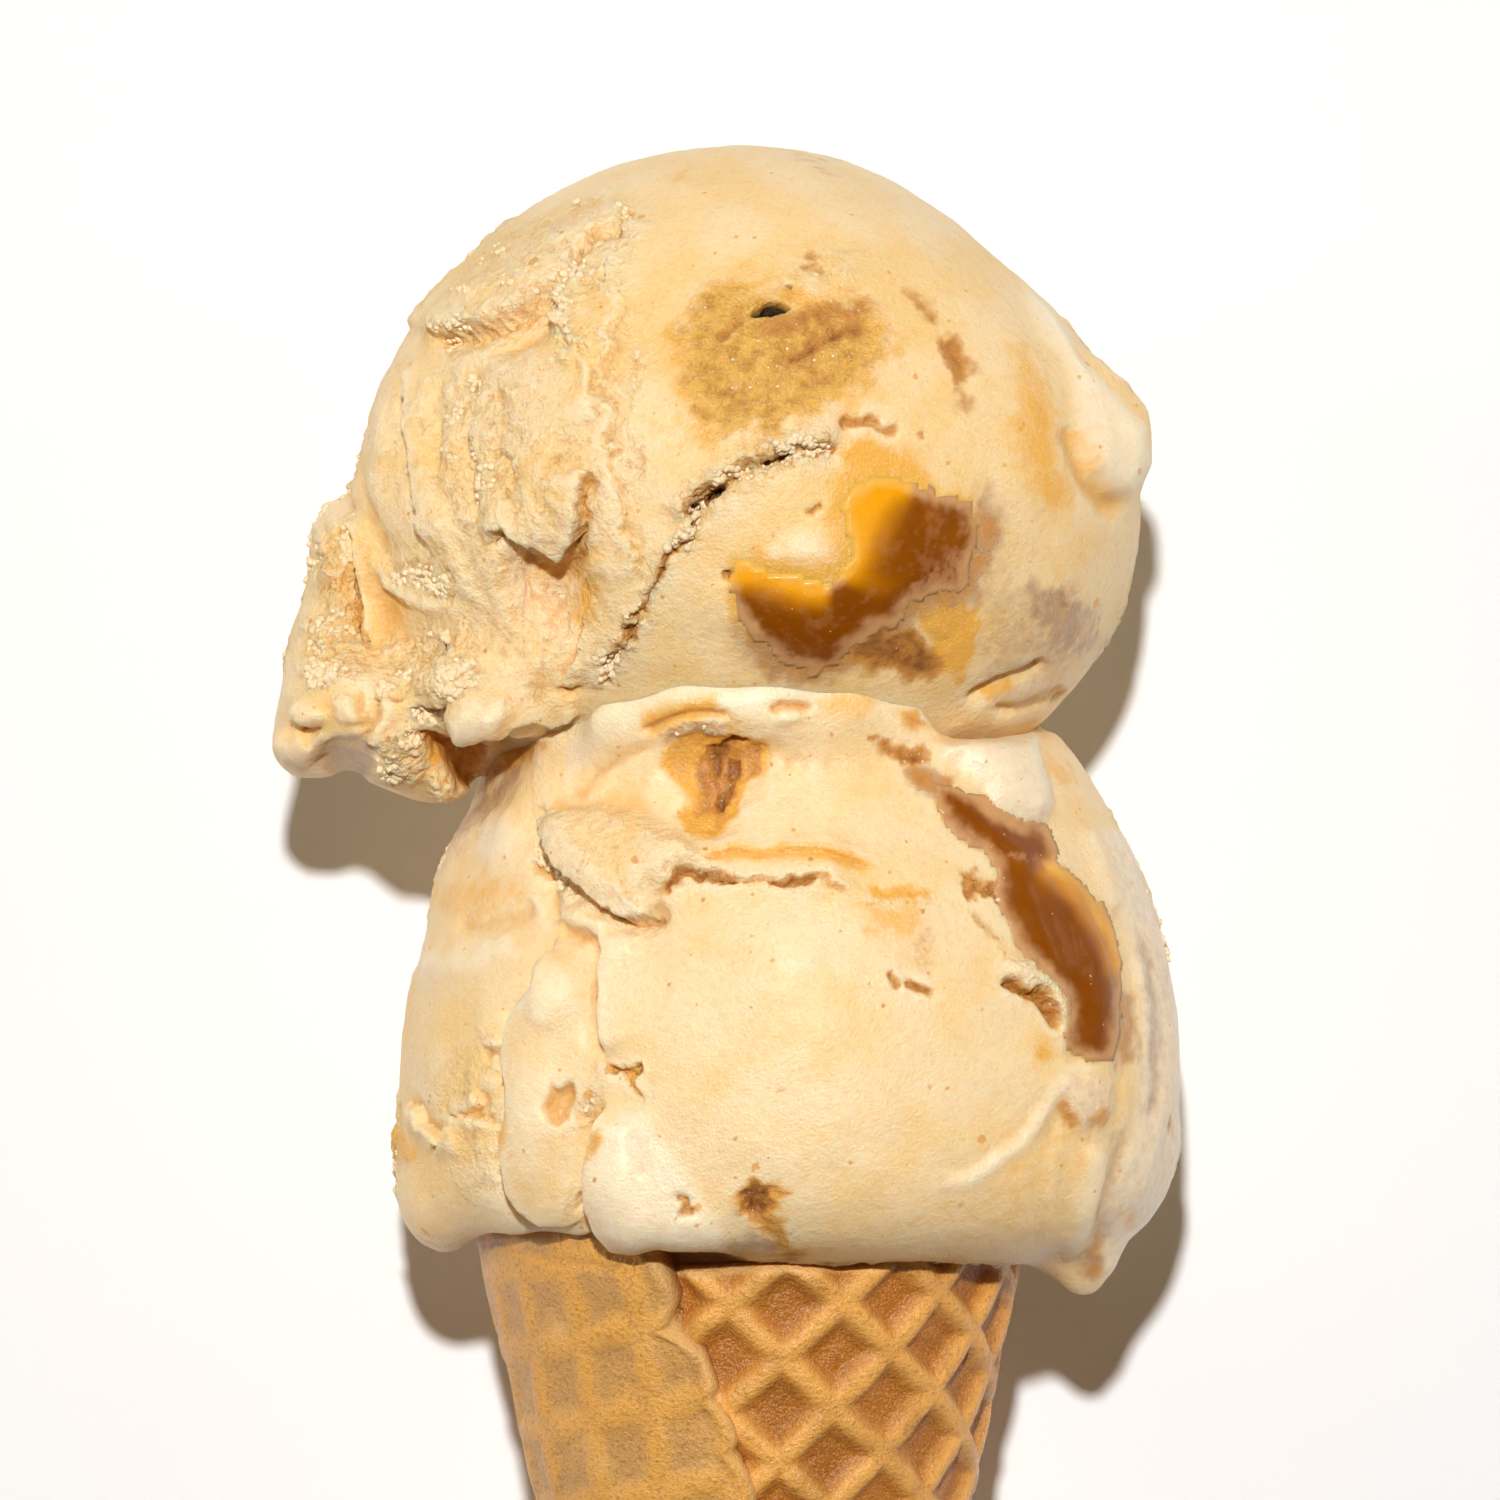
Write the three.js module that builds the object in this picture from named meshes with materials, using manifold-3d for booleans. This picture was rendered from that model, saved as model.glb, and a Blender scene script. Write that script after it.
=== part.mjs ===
// A double scoop of caramel ice cream in a rolled waffle cone, lying on its back with its best side up.
// Units are millimetres. +Y runs from the tip of the cone to the top of the upper scoop, +X to the right
// as seen from above, and +Z up from the surface it lies on. The origin is the middle of the flat spot
// under the lower scoop.
import * as THREE from 'three';
import { mergeVertices } from 'three/addons/utils/BufferGeometryUtils.js';
import Module from 'manifold-3d';

const wasm = await Module();
wasm.setup();

// ---- Driving dimensions -------------------------------------------------------------------------------------

const GAP = 0.3; // between neighbouring pieces that touch
const LOOSE = 0.8; // between the wafer and the ice cream that fills it
const SAG = 1.2; // how far each scoop has settled onto the surface it lies on, which makes its flat spot

// The upper scoop: a ball, lower under its waist than above it, with one shoulder pressed flat.
const UPPER = {
  centre: [-3.4, 46.8], halfWidth: 35.5, halfDepth: 35, above: 32.1, below: 29.7,
  shoulder: { towards: [0.72, 0.69, 0.1], spread: 0.47, pressed: 2.6 },
  detail: 8, wobble: 0.5,
};

// The lower scoop: pressed onto the cone, so its top is a tall dome and its underside a short, square skirt.
const LOWER = {
  centre: [0, -6], halfWidth: 35.2, halfDepth: 34.4, above: 44.3, below: 16.6, squareness: 4,
  detail: 8, wobble: 0.5,
};

// Lumps and drips that stand out of the scoops: centre, half sizes, and turn about Z in degrees.
const UPPER_LUMPS = [
  { at: [-36.6, 27.4, 40.0], half: [10.0, 6.2, 11.5], turn: -16 }, // the torn shelf at the lower left
  { at: [-43.2, 24.9, 38.0], half: [4.0, 3.6, 6.0], turn: 0 }, // its outer tip
  { at: [-40.0, 33.2, 37.0], half: [5.2, 6.0, 8.0], turn: 20 }, // the torn edge above it
  { at: [-38.6, 40.5, 35.5], half: [4.6, 7.0, 9.0], turn: 8 },
  { at: [-32.6, 22.6, 39.0], half: [5.6, 3.4, 7.0], turn: -10 }, // crumbs under the shelf
  { at: [-26.6, 29.0, 52.5], half: [6.4, 4.0, 6.0], turn: -12 }, // the rounded nose in front of it
  { at: [29.0, 51.6, 44.0], half: [3.9, 5.6, 4.6], turn: -12 }, // the melted drip at the right
  { at: [27.4, 56.2, 45.0], half: [2.6, 5.0, 3.4], turn: 22 }, // its tail
];
const LOWER_LUMPS = [
  { at: [-31.0, -15.6, 36.0], half: [4.6, 6.0, 10.0], turn: 8 }, // the skirt at the lower left
  { at: [26.6, -21.0, 42.0], half: [3.0, 4.6, 4.4], turn: -14 }, // the drip at the lower right
];

// Folds and rolls along the skin: steps of [x, y, half width], how deep they sit and how proud they stand.
const UPPER_ROLLS = [
  { // the torn edge near the top left
    steps: [[-31.5, 62.7, 1.8], [-26.7, 65.7, 3.2], [-21.9, 68.7, 3.2], [-17.7, 71.7, 1.6]],
    depth: 4, proud: 1.1,
  },
  { // the pressed fold below it
    steps: [[-24.4, 58.6, 3.4], [-22.9, 52.0, 5.0], [-21.6, 46.4, 4.0], [-20.6, 43.2, 1.8]],
    depth: 4, proud: 1.1,
  },
];
const LOWER_ROLLS = [
  { // the collar under the upper scoop
    steps: [[-26.8, 15.8, 2.4], [-24.0, 19.4, 3.8], [-19.8, 22.2, 4.4], [-15.4, 24.9, 4.7], [-11.0, 26.9, 4.9],
      [-6.2, 27.2, 4.9], [-1.0, 26.4, 4.7], [6.0, 26.0, 4.4], [14.0, 25.2, 3.2]],
    depth: 6, proud: 1.3,
  },
  { // the torn flap
    steps: [[-22.0, 15.8, 2.8], [-17.2, 15.6, 4.4], [-11.9, 14.9, 3.6], [-7.6, 14.4, 1.6]],
    depth: 4, proud: 1.5,
  },
  { // the pale melted lobe
    steps: [[13.6, 24.4, 2.6], [17.6, 22.6, 4.4], [20.6, 19.6, 3.4]],
    depth: 4, proud: 1.5,
  },
  { // the upright fold
    steps: [[-19.5, 7.2, 2.4], [-20.8, 1.4, 3.2], [-21.8, -4.4, 3.4], [-22.1, -10.2, 3.5],
      [-21.6, -15.6, 3.0]],
    depth: 5, proud: 1.6,
  },
  { // the rolled lip
    steps: [[-15.6, -10.8, 2.6], [-14.6, -15.0, 3.6], [-11.2, -17.4, 3.6], [-6.4, -18.2, 2.2]],
    depth: 5, proud: 1.6,
  },
];
const ROLL_SECTIONS = 10;

// Hollows in the shown side: the two scrapes under torn lips, the groove beside the flap, and the gap
// that bares the rim of the cone.
const UPPER_HOLLOWS = [
  { at: [-20.4, 36.0, 64.0], half: [5.0, 7.6, 5.2], turn: 10 },
  { at: [-24.6, 61.2, 58.5], half: [5.6, 2.4, 3.4], turn: 28 },
];
const LOWER_HOLLOWS = [
  { at: [-22.6, 13.6, 60.6], half: [1.6, 6.6, 4.0], turn: 34 },
  { at: [-25.2, -24.6, 58.0], half: [11.5, 6.4, 12.0], turn: -14 },
];

// Caramel that shows at the surface and runs into the ice cream: [x, y, half width] along each streak.
const POOL = {
  steps: [[-6.2, 36.6, 1.2], [-1.6, 36.2, 3.2], [3.4, 36.8, 4.6], [8.0, 40.0, 5.2],
    [11.6, 43.8, 4.2], [14.0, 46.8, 1.6]],
  depth: 4.2, proud: 0.5,
};
const RIBBON = {
  steps: [[9.4, 24.6, 0.9], [14.2, 20.2, 1.8], [18.8, 15.4, 2.4], [22.8, 10.2, 3.2],
    [26.2, 4.6, 3.6], [27.6, -1.2, 3.0], [27.4, -4.8, 1.4]],
  depth: 3.6, proud: 0.6,
};
const STREAK_SIDES = 10;
const STREAK_SECTIONS = 13;

// The cone, rolled from a flat wafer with a square grid pressed into it.
const CONE = {
  apex: [-1.1, -142.3, 33.5], lean: 0.95, // the point where its sides would meet, and the lean of its axis
  halfAngle: THREE.MathUtils.degToRad(11.9),
  wall: 2.1, // wafer under the pattern
  ridge: 1.1, // height of the pattern's ridges
  pitch: 7.2, // from ridge to ridge
  floor: 0.58, // share of the pitch that is flat floor
  faint: 0.45, // depth of the pattern on the outer turn, which was pressed smoother
  sag: 0.04, // unevenness of the inner face
  gridTurn: THREE.MathUtils.degToRad(42.4), // of the grid, where the cone faces up
  crossing: [2.2, 114.5], // where two of the grid's ridges cross, on the flat wafer
  overlap: 1.9, // how far the outer turn's edge stands off the turn below
  rimLow: 122.6, rimHigh: 127.8, // slant length at the two ends of the rolled rim
  seam: THREE.MathUtils.degToRad(-23.2), // where the outer turn's edge meets the rim
  seamTwist: THREE.MathUtils.degToRad(0.89), // how far it winds on, for each millimetre towards the tip
  scallop: 0.7, scallops: 4.6, // depth and length of the waves of that edge
  edgeStart: 8, // from the tip to where the edge of the wafer comes free of it
  tipRadius: 3.8, tipLength: 14, tipEnd: 3.4, // the pinched tip and its rounded end
  plug: 20, // of wafer that fills it
};
const FULL_TURN = 2 * Math.PI;

// ---- Solids -------------------------------------------------------------------------------------------------

// A closed three.js geometry as a manifold-3d solid.
function solidOf(geometry) {
  const bare = new THREE.BufferGeometry();
  bare.setAttribute('position', geometry.getAttribute('position').clone());
  if (geometry.index) bare.setIndex(geometry.index.clone());
  const merged = mergeVertices(bare, 1e-4);
  return new wasm.Manifold(new wasm.Mesh({
    numProp: 3,
    vertProperties: new Float32Array(merged.attributes.position.array),
    triVerts: new Uint32Array(merged.index.array),
  }));
}

// A manifold-3d solid as a three.js geometry.
function geometryOf(solid) {
  const { vertProperties, triVerts, numProp } = solid.getMesh();
  const positions = new Float32Array((vertProperties.length / numProp) * 3);
  for (let i = 0; i < positions.length / 3; i += 1) {
    positions.set(vertProperties.subarray(i * numProp, i * numProp + 3), i * 3);
  }
  const geometry = new THREE.BufferGeometry();
  geometry.setAttribute('position', new THREE.BufferAttribute(positions, 3));
  geometry.setIndex([...triVerts]);
  geometry.computeVertexNormals();
  return geometry;
}

// Moves every vertex of a geometry by a rule.
function reshape(geometry, rule) {
  const position = geometry.getAttribute('position');
  const p = new THREE.Vector3();
  for (let i = 0; i < position.count; i += 1) {
    rule(p.fromBufferAttribute(position, i));
    position.setXYZ(i, p.x, p.y, p.z);
  }
  return geometry;
}

// An uneven swell from -1 to 1, the same at every run.
function swell(p, size, phase) {
  return (Math.sin(p.x / size + phase) * Math.cos(p.y / size - 1.7 * phase)
    + Math.sin(p.z / size + 2.3 * phase) * Math.cos(p.x / (1.6 * size) + phase)) / 2;
}

// ---- Ice cream ----------------------------------------------------------------------------------------------

// How far from the centre the scoop's skin is in a direction. A squareness of 2 is an ellipsoid.
function reach(direction, scoop) {
  const up = direction.y > 0;
  const power = up ? 2 : scoop.squareness ?? 2;
  const across = Math.hypot(direction.x / scoop.halfWidth, direction.z / scoop.halfDepth);
  const along = Math.abs(direction.y) / (up ? scoop.above : scoop.below);
  let length = (across ** power + along ** power) ** (-1 / power);
  if (scoop.shoulder) {
    const towards = new THREE.Vector3(...scoop.shoulder.towards).normalize();
    length -= scoop.shoulder.pressed * Math.exp(-((direction.angleTo(towards) / scoop.shoulder.spread) ** 2));
  }
  return length;
}

// The ball of one scoop, with its flat spot on the surface it lies on.
function ball(scoop) {
  const middle = new THREE.Vector3(...scoop.centre, scoop.halfDepth - SAG);
  return solidOf(reshape(new THREE.IcosahedronGeometry(1, scoop.detail), (p) => {
    p.normalize();
    p.multiplyScalar(reach(p, scoop) + scoop.wobble * swell(p, 0.31, 1.1)).add(middle);
    p.z = Math.max(p.z, 0);
  }));
}

// A lump or a hollow: an uneven ellipsoid, at home in the scoop's skin.
function lump({ at, half, turn }, detail = 2) {
  const geometry = reshape(new THREE.IcosahedronGeometry(1, detail), (p) => {
    p.normalize().multiplyScalar(1 + 0.07 * swell(p, 0.22, at[0]));
    p.multiply(new THREE.Vector3(...half));
  });
  return solidOf(geometry.rotateZ(THREE.MathUtils.degToRad(turn)).translate(...at));
}

// The height of a scoop's upper skin over a point of the surface below.
function skinHeight(x, y, scoop) {
  const across = (x - scoop.centre[0]) / scoop.halfWidth;
  const along = (y - scoop.centre[1]) / (y > scoop.centre[1] ? scoop.above : scoop.below);
  const power = y > scoop.centre[1] ? 2 : scoop.squareness ?? 2;
  const room = (1 - Math.abs(along) ** power) ** (2 / power) - across * across;
  return scoop.halfDepth - SAG + scoop.halfDepth * Math.sqrt(Math.max(room, 0));
}

// A streak or a roll: an oval section that follows the skin of the scoops. It is as wide as its steps say
// and rounded at its ends.
function streak({ steps, depth, proud }, scoops, { grow = 0, sections = STREAK_SECTIONS } = {}) {
  const line = new THREE.CatmullRomCurve3(steps.map(([x, y]) => new THREE.Vector3(x, y, 0)));
  const widths = new THREE.SplineCurve(steps.map((step, i) => new THREE.Vector2(i, step[2])));
  const points = [];
  const index = [];
  for (let i = 0; i <= sections; i += 1) {
    const t = i / sections;
    const on = line.getPoint(t);
    const heights = scoops.map((scoop) => skinHeight(on.x, on.y, scoop));
    on.z = Math.max(...heights);
    const scoop = scoops[heights.indexOf(on.z)];
    const out = on.clone().sub(new THREE.Vector3(...scoop.centre, scoop.halfDepth - SAG)).normalize();
    const side = line.getTangent(t).cross(out).normalize();
    const end = Math.sqrt(Math.max(0, 1 - (2 * t - 1) ** 8));
    const halfWidth = widths.getPoint(t).y * (0.35 + 0.65 * end) + grow;
    const halfDepth = (depth + proud) * 0.5 * (0.45 + 0.55 * end) + grow;
    on.addScaledVector(out, proud - (depth + proud) / 2);
    for (let j = 0; j < STREAK_SIDES; j += 1) {
      const angle = (j / STREAK_SIDES) * FULL_TURN;
      points.push(on.clone()
        .addScaledVector(side, halfWidth * Math.cos(angle))
        .addScaledVector(out, halfDepth * Math.sin(angle)));
    }
  }
  const first = points.slice(0, STREAK_SIDES);
  const last = points.slice(-STREAK_SIDES);
  const middleOf = (ring) => ring.reduce((sum, p) => sum.add(p), new THREE.Vector3()).divideScalar(ring.length);
  const tail = last[0].clone().sub(points.at(-2 * STREAK_SIDES)).normalize().multiplyScalar(grow);
  const head = first[0].clone().sub(points[STREAK_SIDES]).normalize().multiplyScalar(grow);
  points.push(middleOf(first).add(head), middleOf(last).add(tail));
  for (let j = 0; j < STREAK_SIDES; j += 1) {
    const k = (j + 1) % STREAK_SIDES;
    for (let i = 0; i < sections; i += 1) {
      const [a, b] = [i * STREAK_SIDES, (i + 1) * STREAK_SIDES];
      index.push(a + j, a + k, b + k, a + j, b + k, b + j);
    }
    index.push(points.length - 2, k, j);
    const end = sections * STREAK_SIDES;
    index.push(points.length - 1, end + j, end + k);
  }
  const geometry = new THREE.BufferGeometry().setFromPoints(points);
  geometry.setIndex(index);
  const solid = solidOf(geometry);
  if (solid.volume() > 0) return solid;
  for (let i = 0; i < index.length; i += 3) [index[i + 1], index[i + 2]] = [index[i + 2], index[i + 1]];
  geometry.setIndex(index);
  return solidOf(geometry);
}

// ---- The rolled cone ----------------------------------------------------------------------------------------

// A point of the flat wafer, with a height over its face, as a point of the cone rolled from it.
// angle is the turn about the cone's axis from straight up, and slant the distance from the apex along
// its side.
function rolled(angle, slant, height, target = new THREE.Vector3()) {
  const { apex, halfAngle, lean } = CONE;
  const radius = slant * Math.sin(halfAngle) + height * Math.cos(halfAngle);
  const along = slant * Math.cos(halfAngle) - height * Math.sin(halfAngle);
  target.set(radius * Math.sin(angle), along, radius * Math.cos(angle));
  target.applyAxisAngle(new THREE.Vector3(0, 0, 1), THREE.MathUtils.degToRad(lean));
  return target.add(new THREE.Vector3(...apex));
}

// Where the outer turn's edge is, at a slant length.
const seamAt = (slant) => CONE.seam + CONE.seamTwist * (CONE.rimHigh - slant);

// The slant length of the rim, a share of a turn on from the seam.
const rimAt = (share) => CONE.rimLow + (CONE.rimHigh - CONE.rimLow) * share;

// The outline of a stretch of flat wafer: from and to are shares of a turn on from the seam.
function waferOutline(from, to, scalloped) {
  const { halfAngle, tipLength, edgeStart, scallop, scallops } = CONE;
  const flat = (share, slant) => {
    const angle = (seamAt(slant) + share * FULL_TURN) * Math.sin(halfAngle);
    return new THREE.Vector2(slant * Math.sin(angle), slant * Math.cos(angle));
  };
  const start = tipLength + edgeStart;
  const [edgeSteps, rimSteps] = [26, 16];
  const outline = [];
  for (let i = 0; i <= edgeSteps; i += 1) {
    const slant = THREE.MathUtils.lerp(start, rimAt(from), i / edgeSteps);
    outline.push(flat(from, slant));
  }
  for (let i = 1; i < rimSteps; i += 1) {
    const share = THREE.MathUtils.lerp(from, to, i / rimSteps);
    outline.push(flat(share, rimAt(share)));
  }
  for (let i = edgeSteps; i >= 0; i -= 1) {
    const slant = THREE.MathUtils.lerp(start, rimAt(to), i / edgeSteps);
    const wave = scalloped ? scallop * Math.sin((slant / scallops) * FULL_TURN) : 0;
    outline.push(flat(to + wave / (slant * Math.sin(halfAngle) * FULL_TURN), slant));
  }
  return outline;
}

// The flat wafer: a plate with a square grid of ridges on its outer face. A faint one has shallow dished
// squares.
function flatWafer(faint, crest, under) {
  const { pitch, ridge, floor, gridTurn, crossing, rimHigh, sag } = CONE;
  const cells = Math.ceil(rimHigh / pitch) + 2;
  const inset = ((1 - floor) / 2) * pitch;
  const points = [];
  const index = [];
  const face = (...corners) => {
    const first = points.length;
    corners.forEach((c) => points.push(new THREE.Vector3(...c)));
    for (let i = 1; i < corners.length - 1; i += 1) index.push(first, first + i, first + i + 1);
  };
  const corner = (i, j, z) => [i * pitch, j * pitch, z];
  const above = (i, j) => corner(i, j, crest);
  const below = (i, j) => corner(i, j, under - ((i + j) % 2 ? sag : 0));
  for (let i = -cells; i < cells; i += 1) {
    for (let j = -cells; j < cells; j += 1) {
      const top = [above(i, j), above(i + 1, j), above(i + 1, j + 1), above(i, j + 1)];
      if (faint) {
        const dip = corner(i + 0.5, j + 0.5, crest - CONE.faint);
        for (let k = 0; k < 4; k += 1) face(top[k], top[(k + 1) % 4], dip);
      } else {
        const bed = [[1, 1], [-1, 1], [-1, -1], [1, -1]].map(([sx, sy], k) => (
          [top[k][0] + sx * inset, top[k][1] + sy * inset, crest - ridge]));
        face(...bed);
        for (let k = 0; k < 4; k += 1) face(top[k], top[(k + 1) % 4], bed[(k + 1) % 4], bed[k]);
      }
      face(below(i, j + 1), below(i + 1, j + 1), below(i + 1, j), below(i, j));
      if (j === -cells) face(below(i, j), below(i + 1, j), top[1], top[0]);
      if (j === cells - 1) face(below(i + 1, j + 1), below(i, j + 1), top[3], top[2]);
      if (i === -cells) face(below(i, j + 1), below(i, j), top[0], top[3]);
      if (i === cells - 1) face(below(i + 1, j), below(i + 1, j + 1), top[2], top[1]);
    }
  }
  const plate = new THREE.BufferGeometry().setFromPoints(points);
  plate.setIndex(index);
  return plate.rotateZ(gridTurn).translate(...crossing, 0);
}

// A stretch of rolled wafer: cut flat to its outline, then rolled. It moves out as the turn goes on.
function wafer(from, to, outer) {
  const { ridge, wall, halfAngle, overlap, seam } = CONE;
  const under = -ridge - wall;
  const plate = flatWafer(outer, 0, under);
  const spare = 1;
  const cutter = new THREE.ExtrudeGeometry(new THREE.Shape(waferOutline(from, to, outer)), {
    depth: 2 * spare - under, bevelEnabled: false,
  }).translate(0, 0, under - spare);
  const flat = geometryOf(solidOf(plate).intersect(solidOf(cutter)));
  const middle = (seam + ((from + to) / 2) * FULL_TURN) * Math.sin(halfAngle);
  return solidOf(reshape(flat, (p) => {
    const slant = Math.hypot(p.x, p.y);
    let turn = Math.atan2(p.x, p.y) - middle;
    turn = middle + Math.atan2(Math.sin(turn), Math.cos(turn));
    const angle = turn / Math.sin(halfAngle);
    const share = (angle - seamAt(slant)) / FULL_TURN;
    const onInnerFace = p.z < -ridge - wall / 2;
    rolled(angle, slant, p.z - overlap + (onInnerFace ? 0 : overlap * share), p);
  }));
}

// A profile of radius and length, turned about the axis of the cone.
function turned(profile, sides) {
  return solidOf(reshape(new THREE.LatheGeometry(profile, sides), (p) => {
    p.applyAxisAngle(new THREE.Vector3(0, 0, 1), THREE.MathUtils.degToRad(CONE.lean));
    p.add(new THREE.Vector3(...CONE.apex));
  }));
}

// The pinched tip of the roll, where the wafer closes on itself.
function tip() {
  const { tipRadius, tipLength, tipEnd, plug, halfAngle, ridge } = CONE;
  const nose = tipLength + tipEnd + 1;
  const profile = [];
  const steps = 5;
  for (let i = 0; i <= steps; i += 1) {
    const a = (i / steps) * (Math.PI / 2);
    profile.push(new THREE.Vector2(tipRadius * Math.sin(a), nose - tipEnd * Math.cos(a)));
  }
  const far = tipLength + plug;
  profile.push(new THREE.Vector2(far * Math.tan(halfAngle) - ridge * 1.6, far));
  profile.push(new THREE.Vector2(0, far));
  return turned(profile, 20);
}

// The plain cone inside the wafer, from the tip to past the rim.
function inside(clearance, top) {
  const { halfAngle, tipLength, plug, wall, ridge, overlap } = CONE;
  const skin = (wall + ridge + overlap) / Math.cos(halfAngle) + clearance;
  const bottom = tipLength + plug + 1;
  return turned([
    new THREE.Vector2(0, bottom),
    new THREE.Vector2(bottom * Math.tan(halfAngle) - skin, bottom),
    new THREE.Vector2(top * Math.tan(halfAngle) - skin, top),
    new THREE.Vector2(0, top),
  ], 28);
}

// The whole cone: two stretches of wafer that make a full turn and tuck under the outer edge, and the tip.
function waffleCone() {
  return wafer(-0.06, 0.52, false).add(wafer(0.5, 1, true)).add(tip());
}

// The room that the top of a stretch of rolled wafer takes up in the ice cream around it.
function waferRoom(from, to) {
  const { ridge, wall, overlap } = CONE;
  const [steps, low] = [24, CONE.rimLow - 10.6];
  const bottom = -ridge - wall - overlap - LOOSE - GAP;
  const points = [];
  const index = [];
  for (let i = 0; i <= steps; i += 1) {
    const share = THREE.MathUtils.lerp(from, to, i / steps);
    const top = overlap * (share - 1) + GAP;
    const high = rimAt(share) + GAP;
    for (const [slant, height] of [[low, bottom], [high, bottom], [high, top], [low, top]]) {
      points.push(rolled(CONE.seam + share * FULL_TURN, slant, height));
    }
  }
  for (let i = 0; i < steps; i += 1) {
    for (let k = 0; k < 4; k += 1) {
      const [a, b] = [i * 4 + k, i * 4 + ((k + 1) % 4)];
      index.push(a, b + 4, a + 4, a, b, b + 4);
    }
  }
  const end = steps * 4;
  index.push(0, 2, 1, 0, 3, 2, end, end + 1, end + 2, end, end + 2, end + 3);
  const geometry = new THREE.BufferGeometry().setFromPoints(points);
  geometry.setIndex(index);
  return solidOf(geometry);
}

// ---- The pieces ---------------------------------------------------------------------------------------------

const sum = (solids) => solids.reduce((all, next) => all.add(next));
const material = (color, roughness) => new THREE.MeshStandardMaterial({ color, roughness, metalness: 0 });

function piece(name, solid, look) {
  const mesh = new THREE.Mesh(geometryOf(solid), look);
  mesh.name = name;
  return mesh;
}

const creamLook = material('#fbe0b2', 0.45);
const paleCreamLook = material('#fbe3bd', 0.4);
const caramelLook = material('#9a4d05', 0.12);
const waferLook = material('#cf9047', 0.6);

const rolls = (shapes, scoops) => shapes.map((one) => streak(one, scoops, { sections: ROLL_SECTIONS }));
const upper = sum([ball(UPPER), ...UPPER_LUMPS.map((one) => lump(one)), ...rolls(UPPER_ROLLS, [UPPER])])
  .subtract(sum(UPPER_HOLLOWS.map((one) => lump(one))))
  .subtract(streak(POOL, [UPPER], { grow: GAP }));

// The upper scoop's seat in the lower one is the upper scoop with a gap all round.
const { halfWidth, halfDepth, below } = UPPER;
const grown = { ...UPPER, halfWidth: halfWidth + GAP, below: below + GAP, halfDepth: halfDepth + GAP };
const seat = ball(grown).add(sum(UPPER_LUMPS.map(({ at, half, turn }) => (
  lump({ at, half: half.map((h) => h + GAP), turn })))));
const fillTop = LOWER.centre[1] - CONE.apex[1];
const lower = sum([ball(LOWER), ...LOWER_LUMPS.map((one) => lump(one)), ...rolls(LOWER_ROLLS, [LOWER, UPPER])])
  .subtract(sum(LOWER_HOLLOWS.map((one) => lump(one))))
  .subtract(seat)
  .subtract(waferRoom(-0.08, 0.5))
  .subtract(waferRoom(0.48, 1.05))
  .add(inside(LOOSE, fillTop))
  .subtract(streak(RIBBON, [LOWER], { grow: GAP }));

const cone = new THREE.Group();
cone.add(
  piece('waffle_cone', waffleCone(), waferLook),
  piece('lower_scoop', lower, paleCreamLook),
  piece('caramel_ribbon', streak(RIBBON, [LOWER]), caramelLook),
  piece('upper_scoop', upper, creamLook),
  piece('caramel_pool', streak(POOL, [UPPER]), caramelLook),
);

export default cone;
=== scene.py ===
"""Dresses the packed ice cream cone: two melting scoops of caramel ice cream in a rolled waffle cone.

Lengths are in millimetres up to the moment a mesh is written, and in metres from there on. A place on the shown
side is given as (x, y) as the camera above sees it, in the plane of the object's widest outline.
"""

import logging
import math
from dataclasses import dataclass
from enum import Enum
from typing import Any, Callable, Optional, Sequence

import bpy
import numpy as np
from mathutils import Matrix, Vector

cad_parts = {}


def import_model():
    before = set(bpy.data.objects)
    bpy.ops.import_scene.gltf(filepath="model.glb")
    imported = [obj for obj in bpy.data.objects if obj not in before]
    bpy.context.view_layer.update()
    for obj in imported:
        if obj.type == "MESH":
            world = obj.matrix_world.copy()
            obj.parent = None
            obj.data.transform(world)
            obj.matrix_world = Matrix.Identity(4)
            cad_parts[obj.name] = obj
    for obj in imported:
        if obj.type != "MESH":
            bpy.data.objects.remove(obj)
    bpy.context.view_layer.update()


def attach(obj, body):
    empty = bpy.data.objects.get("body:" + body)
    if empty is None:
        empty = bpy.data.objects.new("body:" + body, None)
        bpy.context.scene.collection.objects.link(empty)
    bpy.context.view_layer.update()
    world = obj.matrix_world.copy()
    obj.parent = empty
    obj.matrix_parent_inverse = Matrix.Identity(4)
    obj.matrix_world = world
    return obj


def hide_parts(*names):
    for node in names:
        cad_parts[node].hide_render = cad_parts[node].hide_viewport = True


LOG = logging.getLogger("ice_cream_cone")
MM = 0.001
MERGE_WITHIN = 0.01 * MM
FULL_TURN = 2.0 * math.pi

Place = tuple[float, float]
Array = np.ndarray


# ---- The view


@dataclass(frozen=True)
class Outlook:
    """Where the camera stands over the object, and how it sees a height."""

    centre: Place = (-3.6, 24.3)
    distance: float = 1250.0
    field: float = 135.0
    plane: float = 35.0

    def seen(self, points: Array) -> Array:
        """Gives where the camera sees points, in the plane of the widest outline.

        Args:
            points: An array of (x, y, z) rows, in millimetres.

        Returns:
            An array of (x, y) rows.
        """
        centre = np.array(self.centre)
        nearness = self.distance / (self.distance - (points[:, 2] - self.plane))
        return centre + (points[:, :2] - centre) * nearness[:, None]

    def found(self, thing: bpy.types.Object, place: Place) -> Vector:
        """Gives the point of a piece that the camera sees at a place, in millimetres."""
        bpy.context.view_layer.update()
        eye = Vector((*self.centre, self.plane + self.distance)) * MM
        found, point, _, _ = thing.ray_cast(eye, Vector((*place, self.plane)) * MM - eye)
        return point / MM if found else Vector((*place, self.plane))


OUTLOOK = Outlook()


# ---- Shapes from numbers


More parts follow.
